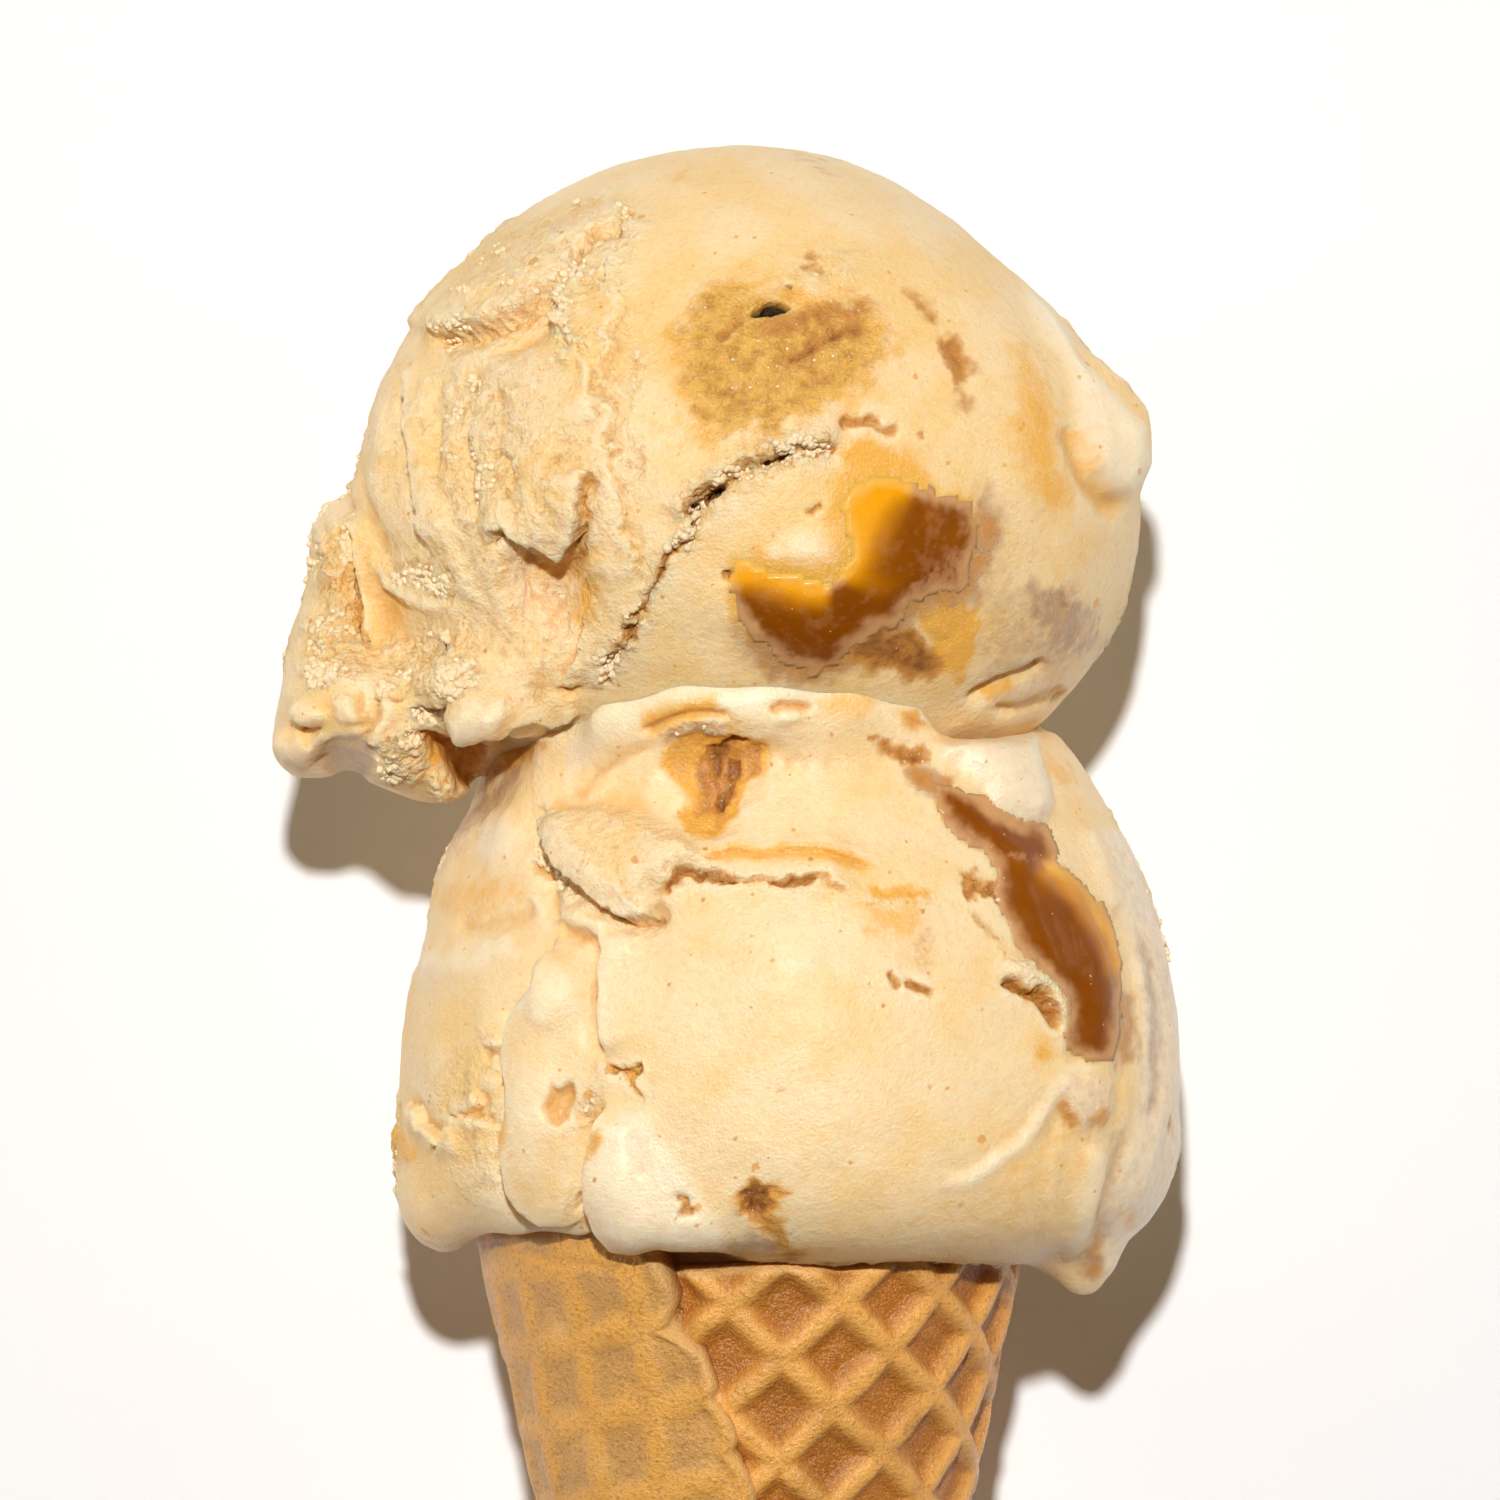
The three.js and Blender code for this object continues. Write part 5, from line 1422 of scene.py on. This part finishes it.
    Patch("-49,-177 -41,-153 -20,-148 -14,-160 -17,-180 -27,-187", -0.5, 0.8, 0.7, tint(caramel=0.85), 0.4),
    Patch("-61,-197 -37,-190 -14,-203 17,-215 -51,-217", 0.0, 0.8, 0.6, tint(film=0.6), 0.5),
    # The right side: the lobe, the crumbs beside the caramel, and the film of melted ice cream.
    Patch("126,249 155,253 186,255 224,260 226,241 230,222 234,207 237,187 232,178 217,168 201,171 186,180 176,191 "
        "167,205 155,218 146,226 132,230", 1.8, 2.2, 0.06, tint(milk=1.0, film=0.12), 0.1),
    Patch("92,278 119,278 127,258 101,260", -0.1, 1.0, 0.6, tint(caramel=0.34, gold=0.9), 0.6),
    Patch("75,251 101,248 123,245 127,230 109,229 92,232 78,241", -0.3, 0.9, 0.6, tint(caramel=0.78), 0.3),
    Patch("99,230 126,230 147,222 144,199 128,197 113,205", -0.2, 1.2, 0.6, tint(caramel=0.4, film=0.9), 0.4),
    Patch("230,241 247,230 255,214 247,210 234,222", 0.0, 1.0, 0.5, tint(gold=0.9), 0.7),
    Patch("149,135 164,140 186,129 195,116 189,107 173,112 160,107 157,116", -0.5, 0.8, 0.6,
        tint(caramel=0.5, torn=1.0, gold=0.6), 0.2),
    Patch("160,99 170,94 183,81 194,59 192,52 186,69 173,85", -0.5, 0.7, 0.4, tint(caramel=0.45, gold=0.7, torn=0.8),
        0.2),
    Patch("188,57 217,60 253,19 250,1 217,15 192,30", 0.7, 1.1, 0.4, tint(torn=0.4), 0.3),
    Furrow("189,34 205,30 226,19 238,4 246,-8", -1.5, 0.45, 0.3, tint(caramel=0.7), 0.1),
    Patch("199,37 218,30 224,15 208,18", -0.2, 0.8, 0.4, tint(gold=0.9), 0.4),
    Patch("219,-20 234,-17 237,-36 224,-46 218,-36", 0.0, 1.2, 0.4, tint(gold=1.0), 0.8),
    Patch("243,-46 272,-44 291,-52 294,-84 284,-97 256,-103 243,-84 238,-65", 0.7, 1.4, 0.2, tint(milk=0.5, film=0.3),
        0.3),
    Patch("240,-68 246,-74 260,-97 253,-104 245,-94", -0.3, 0.7, 0.4, tint(caramel=0.62), 0.5),
    Patch("261,-84 275,-79 288,-84 281,-97 265,-97", 0.0, 0.8, 0.3, tint(caramel=0.25, gold=0.7), 0.4),
    Patch("288,24 310,24 313,-39 294,-46 284,-20", 0.0, 1.0, 0.5, tint(caramel=0.36, film=0.6), 0.5),
    Patch("272,174 278,155 288,116 294,94 304,56 312,24 313,-20 307,-68 308,-103 294,-132 280,-179 278,-218 288,-243 "
        "313,-211 345,-167 358,-116 370,-52 367,30 345,94 307,170", 0.4, 1.2, 0.2, tint(milk=0.9, film=0.22), 0.5),
    Combed("284,-237 294,-141 313,-71 326,-8 316,56 294,113 275,164", 0.22, 9.0, 0.2, (), pitch=1.1),
    Furrow("264,175 275,151 284,120 294,94", 0.6, 0.8, 0.15, tint(milk=0.5), 0.2),
    Furrow("313,100 329,56 339,5 339,-52 326,-109 307,-179", 0.35, 0.5, 0.2, tint(milk=1.0), 0.2),
    Furrow("307,88 321,43 327,-8 326,-52 316,-103", -0.3, 0.5, 0.3, tint(film=0.55), 0.2),
    Furrow("332,81 348,30 354,-20 351,-71 339,-122", -0.2, 0.4, 0.3, tint(film=0.4), 0.2),
    Furrow("275,-109 272,-148 259,-189 246,-218", 0.7, 1.0, 0.15, tint(milk=0.4), 0.2),
    Furrow("294,-90 294,-132 282,-179 275,-211", -0.4, 0.9, 0.15, tint(film=0.4), 0.3),
    Patch("335,-87 340,-84 342,-97 336,-104", -0.4, 0.4, 0.1, tint(caramel=0.5), 0.1),
    Patch("294,-170 307,-167 310,-183 300,-186", 0.0, 0.8, 0.4, tint(gold=0.9), 0.5),
    Patch("265,-205 280,-192 284,-224 275,-237 262,-227", 0.0, 0.8, 0.4, tint(caramel=0.4, film=0.8), 0.8),
    # Small cracks and stains on the plate.
    Furrow("89,46 96,33 101,29", -0.7, 0.3, 0.25, tint(caramel=0.6), 0.1),
    Furrow("102,33 114,28 133,22", -0.8, 0.3, 0.3, tint(caramel=0.6), 0.1),
    Patch("90,82 125,88 143,65 137,47 108,47", 0.0, 2.0, 1.4, tint(caramel=0.24), 1.2),
    Patch("62,101 130,103 125,83 72,78", 0.0, 1.8, 1.2, tint(gold=0.7), 1.2),
    Patch("-14,-62 -2,-61 -1,-68 -11,-69", 0.0, 0.5, 0.3, tint(caramel=0.34), 0.2),
    # A tiny pit, painted near black for its shade.
    Patch("147,-119 152,-117 151,-124 146,-124", -0.1, 0.3, 0.05, tint(dark=0.6), 0.0),
    Patch("152,-165 157,-163 159,-171 153,-171", 0.0, 0.4, 0.1, tint(caramel=0.36), 0.1),
)

COLLAR = (
    (-25.9, 22.0, 2.3), (-23.9, 23.3, 3.2), (-21.4, 23.8, 2.7), (-18.7, 24.8, 3.6), (-16.1, 25.1, 3.0),
    (-13.7, 27.0, 3.8), (-11.2, 27.5, 3.1), (-8.1, 28.5, 3.8), (-5.1, 28.1, 3.2), (-2.3, 28.5, 3.8),
    (0.9, 27.5, 3.1), (3.7, 28.0, 3.7), (6.7, 27.1, 3.0), (9.2, 26.9, 3.2),
)

POOL = CaramelStreak(
    node="caramel_pool",
    outline="-48,411 -53,396 -51,378 -46,364 -40,354 -27,344 -17,333 -7,323 5,319 23,315 40,320 54,338 74,353 94,359 "
        "102,378 124,385 155,389 162,414 167,439 160,466 133,468 112,479 94,489 74,486 58,475 51,458 56,432 56,416 "
        "45,400 33,391 13,394 -3,397 -23,406 -38,411",
    proud=0.10, sink=1.6, ragged=0.5, smears=0.45, golden=(
        Furrow("-68,419 -43,405 -22,401 9,391 45,389", width=1.9),
        Furrow("36,387 54,432 65,468 90,491 122,486", width=3.0),
    ), smeared=(
        Furrow("180,468 166,432 148,400 126,387 99,378", width=2.0),
        Furrow("-40,342 -9,329 27,313 63,333 99,360", width=1.2),
    ),
)
RIBBON = CaramelStreak(
    node="caramel_ribbon",
    outline="133,211 154,206 171,195 184,183 206,173 228,172 235,158 235,146 229,141 242,136 257,124 274,104 290,81 "
        "297,50 296,21 293,-10 285,-34 271,-36 257,-29 251,-13 256,4 253,21 240,33 228,47 214,59 202,76 193,98 "
        "189,115 189,137 176,154 158,163 141,180 133,195",
    proud=0.35, sink=1.6, ragged=0.25, smears=0.05, golden=(
        Furrow("216,142 239,131 263,108 284,76 297,31", width=1.5),
    ), smeared=(
        Furrow("133,200 148,180 167,164 193,148 229,142", width=0.4),
        Furrow("299,36 301,9 293,-31 272,-43", width=0.8),
    ), halo=((Stain.GOLD, 0.8, 0.8), (Stain.CARAMEL, 0.4, 0.5)), shine=0.7,
)


# ---- The waffle cone


@dataclass(frozen=True)
class Notch:
    """A cusp between two scallops of the wafer's edge.

    Attributes:
        slant: How far along the side of the cone it is.
        depth: How deep it cuts in.
        above: How far it reaches towards the rim.
        below: How far it reaches towards the tip.
    """

    slant: float
    depth: float
    above: float
    below: float


@dataclass
class WaffleCone:
    """A wafer with a square grid, rolled into a cone, with the outer turn's edge across its front.

    Lengths along the side are measured from the point where the sides would meet.
    """

    apex: tuple[float, float, float] = (-1.1, -142.3, 33.5)
    lean: float = math.radians(0.95)
    half_angle: float = math.radians(11.9)
    wall: float = 2.1
    ridge: float = 1.15
    grids: tuple[tuple[float, float, float], ...] = (
        (math.radians(47.57), 86.29, 7.29), (math.radians(127.22), 89.80, 7.09),
    )
    crest: float = 0.35
    flank: float = 2.15
    flap_turn: float = math.radians(-15.0)
    overlap: float = 1.9
    rim_low: float = 122.6
    rim_high: float = 127.8
    seam: float = math.radians(-23.2)
    seam_twist: float = math.radians(0.89)
    tuck: float = 0.06
    start: float = 17.0
    faint: float = 0.42
    columns: int = 330
    rows: int = 250
    inner_grid: tuple[int, int] = (60, 40)
    rounded: float = 1.2
    crowding: float = 0.55
    scallop: float = 5.4
    notches: tuple[Notch, ...] = (
        Notch(117.6, 2.5, 5.2, 2.4), Notch(111.2, 0.95, 1.9, 1.9), Notch(106.4, 0.85, 1.7, 1.9),
    )
    crack: Furrow = Furrow("-281,-194 -259,-205 -237,-211 -204,-219 -176,-221 -146,-228", -0.3, 0.35, 0.35)
    # Where the painted shadow in the gap beside a notch lies, as seen, and how far it reaches.
    seam_shadow_at: tuple[float, float, float] = (-13.5, -28.6, 0.9)

    def seam_at(self, slant: Array) -> Array:
        """Gives the angle of the outer edge at a distance along the side."""
        return self.seam + self.seam_twist * (self.rim_high - slant)

    def rolled(self, angle: Array, slant: Array, height: Array) -> Array:
        """Rolls flat wafer.

        Args:
            angle: The turn about the cone's axis, from straight up.
            slant: The distance from the apex along the side.
            height: The height over the outer face.

        Returns:
            The places, as (x, y, z) rows in millimetres.
        """
        radius = slant * math.sin(self.half_angle) + height * math.cos(self.half_angle)
        along = slant * math.cos(self.half_angle) - height * math.sin(self.half_angle)
        x, z = radius * np.sin(angle), radius * np.cos(angle)
        leant = np.stack([
            x * math.cos(self.lean) - along * math.sin(self.lean),
            x * math.sin(self.lean) + along * math.cos(self.lean),
            z,
        ], axis=1)
        return leant + np.array(self.apex)

    def relief(self, angle: Array, slant: Array, flap: Array) -> Array:
        """Gives the pattern, from 0 in a square to 1 on a ridge.

        Args:
            angle: The turn about the cone's axis.
            slant: The distance from the apex along the side.
            flap: How far each place belongs to the outer turn, from 0 to 1.

        Returns:
            One value for each place.
        """
        bearing = angle * math.sin(self.half_angle)
        flat = np.stack([slant * np.sin(bearing), slant * np.cos(bearing), np.zeros(len(slant))], axis=1)
        flat[:, 0] += Grain.wave(flat, 9.0, 91) * 0.3
        flat[:, 1] += Grain.wave(flat, 9.0, 92) * 0.3
        profiles = []
        for heading, first, pitch in self.grids:
            turn = heading + self.flap_turn * flap
            value = flat[:, 0] * np.cos(turn) + flat[:, 1] * np.sin(turn) - first
            off = np.abs((value / pitch + 0.5) % 1.0 - 0.5) * pitch
            off += Grain.wave(flat, 2.2, 93) * 0.10
            profiles.append(1.0 - smooth(self.crest, self.flank, off))
        worn = 1.0 + Grain.rough(flat, 5.0, 95, 2) * 0.12
        crossing = profiles[0] * profiles[1]
        pattern = (np.maximum(profiles[0], profiles[1]) - 0.10 * crossing) * worn
        return pattern + (1.0 - pattern) * Grain.rough(flat, 2.4, 98, 2) * 0.10

    def edge_wave(self, slant: Array) -> Array:
        """Gives how far the outer edge strays at a distance along the side: round scallops with cusps between."""
        last = self.notches[-1]
        more = [Notch(last.slant - self.scallop * k, last.depth, last.above, last.below) for k in range(1, 18)]
        wave = Grain.wave(np.stack([slant, slant * 0, slant * 0], axis=1), 3.1, 101) * 0.25
        for notch in (*self.notches, *more):
            off = slant - notch.slant
            reach = np.where(off > 0.0, notch.above, notch.below)
            wave -= notch.depth * (1.0 - np.clip(np.abs(off) / reach, 0.0, 1.0)) ** 1.7
        return wave

    def sheet(self, columns: int, rows: int, name: str) -> tuple[bpy.types.Object, Array, Array]:
        """Adds a flat grid and reads off where each of its vertices will be on the wafer.

        Args:
            columns: How many strips it has round the cone.
            rows: How many it has along the side.
            name: The object's name.

        Returns:
            The grid, each vertex's share of the turn on from the seam, and its distance along the side.
        """
        Workshop.deselect()
        bpy.ops.mesh.primitive_grid_add(x_subdivisions=columns, y_subdivisions=rows, size=1.0)
        grid = bpy.context.active_object
        grid.name = grid.data.name = name
        flat = Workshop.points(grid) * MM + 0.5
        across, down = flat[:, 0], flat[:, 1]
        share = -self.tuck + (1.0 + self.tuck) * self.gather(across)
        rim = self.rim_at(share)
        slant = self.start + (rim - self.start) * down**0.82
        return grid, share, slant

    def rim_at(self, share: Array) -> Array:
        """Gives the distance along the side at which the wafer ends, a little uneven."""
        uneven = Grain.rough(np.stack([share * 60.0, share * 0, share * 0], axis=1), 3.0, 97, 3) * 0.35
        return self.rim_low + (self.rim_high - self.rim_low) * share + uneven

    def gather(self, across: Array) -> Array:
        """Draws the strips together where the cone is seen, and spreads them at its back."""
        middle = 0.55
        shift = np.sin(FULL_TURN * (across - middle)) + math.sin(FULL_TURN * middle)
        return across + self.crowding / FULL_TURN * shift

    def outer_face(self) -> bpy.types.Object:
        """Makes the face with the grid, and keeps what its look needs at each vertex."""
        outer, share, slant = self.sheet(self.columns, self.rows, "waffle_cone_rolled")
        around = FULL_TURN * slant * math.sin(self.half_angle)
        to_edge = (1.0 - share) * around
        share = share + self.edge_wave(slant) * smooth(9.0, 0.0, to_edge) / around
        angle = self.seam_at(slant) + share * FULL_TURN
        flap = smooth(0.42, 0.62, share)
        pattern = self.relief(angle, slant, flap)
        ridge = self.ridge * (1.0 - flap) + self.faint * flap
        to_rim = np.abs(self.rim_at(share) - slant)
        bare = 1.0 - np.clip(np.minimum(np.abs(to_edge), to_rim) / self.rounded, 0.0, 1.0)
        rounding = 1.0 - np.sqrt(np.clip(1.0 - bare**2, 0.0, 1.0))
        puff = smooth(2.0, 0.5, to_edge) * 0.35
        lift = self.overlap * (share - 1.0)
        along = np.stack([slant, share * 80.0, slant * 0], axis=1)
        sway = Grain.rough(along, 7.0, 105, 2) * 0.28
        smoothed = flap * smooth(9.0, 3.0, to_rim)
        height = (pattern * (1.0 - smoothed) + smoothed - 1.0) * ridge + lift + sway * flap + puff
        height += -rounding * self.rounded - self.ridge * 0.25 * flap
        points = self.rolled(angle, slant, height)
        seen = OUTLOOK.seen(points)
        facing = flap * smooth(self.apex[2], self.apex[2] + 6.0, points[:, 2])
        points[:, 2] += self.crack.shape(seen + Grain.stray(points) * self.crack.ragged)[0] * facing
        points[:, 2] += Grain.rough(points, 1.1, 111, 2) * 0.05
        Workshop.place(outer, points)
        # The painted shadow in the gap under the edge beside a notch, on the inner turn only.
        away = np.hypot(seen[:, 0] - self.seam_shadow_at[0], seen[:, 1] - self.seam_shadow_at[1])
        cut = smooth(0.8, 0.1, to_edge) + smooth(1.2, 0.2, to_rim)
        gap = np.exp(-((away / self.seam_shadow_at[2]) ** 2)) * (share < 0.3)
        kept = {"ridge": np.clip(pattern, 0.0, 1.0), "flap": flap, "cut_edge": np.clip(cut, 0.0, 1.0), "seam_gap": gap}
        for name, values in kept.items():
            Workshop.attribute(outer, name, values)
        return outer

    def inner_face(self) -> bpy.types.Object:
        """Makes the plain face inside, turned inwards."""
        inner, share, slant = self.sheet(*self.inner_grid, "waffle_cone_inside")
        angle = self.seam_at(slant) + share * FULL_TURN
        depth = self.overlap * (share / 2.0 - 1.0) - self.ridge - self.wall
        Workshop.place(inner, self.rolled(angle, slant, depth))
        Workshop.edit(inner, bpy.ops.mesh.flip_normals)
        return inner

    def build(self, look: bpy.types.Material) -> None:
        """Makes the cone and dresses it."""
        cone = Workshop.join([self.outer_face(), self.inner_face()], "waffle_cone_rolled")
        bpy.ops.object.mode_set(mode="EDIT")
        bpy.ops.mesh.select_mode(type="EDGE")
        bpy.ops.mesh.select_all(action="DESELECT")
        bpy.ops.mesh.select_non_manifold(extend=False)
        bpy.ops.mesh.bridge_edge_loops()
        bpy.ops.object.mode_set(mode="OBJECT")
        cone = Workshop.join([cone, self.tip()], "waffle_cone_rolled")
        Workshop.edit(cone, bpy.ops.mesh.normals_make_consistent, inside=False)
        Workshop.finish(cone, look, "wafer")
        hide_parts("waffle_cone")

    def tip(self) -> bpy.types.Object:
        """Makes the pinched tip."""
        Workshop.deselect()
        middle = self.rolled(np.array([0.0]), np.array([21.5]), np.array([-21.5 * math.tan(self.half_angle)]))[0]
        bpy.ops.mesh.primitive_uv_sphere_add(segments=40, ring_count=24, radius=4.3 * MM, location=Vector(middle) * MM)
        tip = bpy.context.active_object
        bpy.ops.object.transform_apply(location=True, rotation=True, scale=True)
        points = Workshop.points(tip)
        points[:, 1] = middle[1] + (points[:, 1] - middle[1]) * 1.45
        Workshop.place(tip, points + Grain.rough(points, 2.0, 113, 2)[:, None] * 0.15)
        Workshop.attribute(tip, "flap", np.ones(len(points)))
        return tip


# ---- The studio


@dataclass(frozen=True)
class Studio:
    """A pale floor under one small lamp near the camera, with weak soft lamps low at both sides."""

    floor_half: float = 900.0
    floor_tone: tuple[float, float, float] = (0.90, 0.90, 0.905)
    lamp_from: tuple[float, float, float] = (-0.02, math.sin(math.radians(13.0)), math.cos(math.radians(13.0)))
    lamp_distance: float = 1600.0
    lamp_size: float = 60.0
    lamp_power: float = 25.6
    side_height: float = math.radians(17.0)
    side_size: float = 500.0
    side_powers: tuple[float, float] = (5.6, 4.6)
    side_tone: tuple[float, float, float] = (1.0, 0.86, 0.66)
    sky: float = 0.05
    sky_tone: tuple[float, float, float] = (1.0, 0.80, 0.66)

    @staticmethod
    def lamp(name: str, at: Vector, size: float, power: float) -> bpy.types.Light:
        """Adds a round lamp that faces the object.

        Args:
            name: Its name.
            at: Where it stands, from the middle of the view, in millimetres.
            size: Its width, in millimetres.
            power: Its power, in watts.

        Returns:
            The lamp's light.
        """
        target = Vector((*OUTLOOK.centre, OUTLOOK.plane))
        bpy.ops.object.light_add(type="AREA", location=(target + at) * MM)
        lamp = bpy.context.active_object
        lamp.name = name
        lamp.rotation_euler = (-at).to_track_quat("-Z", "Y").to_euler()
        lamp.data.shape = "DISK"
        lamp.data.size = size * MM
        lamp.data.energy = power
        return lamp.data

    def build(self) -> None:
        """Makes the floor, the lamps, the sky and the camera."""
        Workshop.deselect()
        bpy.ops.mesh.primitive_plane_add(size=2 * self.floor_half * MM)
        floor = bpy.context.active_object
        floor.name = "floor"
        paper = Graph("floor_paper").surface({"Base Color": (*self.floor_tone, 1.0), "Roughness": 0.8})
        floor.data.materials.append(paper)
        self.lamp("lamp", Vector(self.lamp_from) * self.lamp_distance, self.lamp_size, self.lamp_power)
        for name, side, power in zip(("lamp_left", "lamp_right"), (-1.0, 1.0), self.side_powers):
            low = Vector((side * math.cos(self.side_height), 0.25, math.sin(self.side_height)))
            self.lamp(name, low * self.lamp_distance, self.side_size, power).color = self.side_tone
        world = bpy.data.worlds.new("sky")
        bpy.context.scene.world = world
        world.use_nodes = True
        background = world.node_tree.nodes["Background"]
        background.inputs["Color"].default_value = (*self.sky_tone, 1.0)
        background.inputs["Strength"].default_value = self.sky
        over = Vector((*OUTLOOK.centre, OUTLOOK.plane + OUTLOOK.distance)) * MM
        bpy.ops.object.camera_add(location=over)
        camera = bpy.context.active_object
        camera.name = "camera"
        camera.data.sensor_width = 36.0
        camera.data.lens = 36.0 * OUTLOOK.distance / OUTLOOK.field
        camera.data.clip_end = 20.0
        bpy.context.scene.camera = camera
        bpy.context.scene.view_settings.view_transform = "Standard"


def main() -> None:
    """Builds every piece in order."""
    logging.basicConfig(level=logging.INFO, format="%(name)s: %(message)s")
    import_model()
    cream = CreamFinish().make()
    wet, dry = CaramelFinish().make(), CreamFinish(glow=0.0).make()
    upper = Scoop("upper_scoop", ("caramel_pool",), UPPER_MARKS, (POOL,), (-3.4, 46.8, 33.8))
    lower = Scoop(
        "lower_scoop", ("caramel_ribbon",), LOWER_MARKS, (RIBBON,), (0.0, -6.0, 33.2), "upper_scoop_cream", COLLAR,
        crumb_count=200,
    )
    for scoop in (upper, lower):
        scoop.build(cream, wet, dry)
    WaffleCone().build(WaferFinish().make())
    Studio().build()


if __name__ == "__main__":
    main()
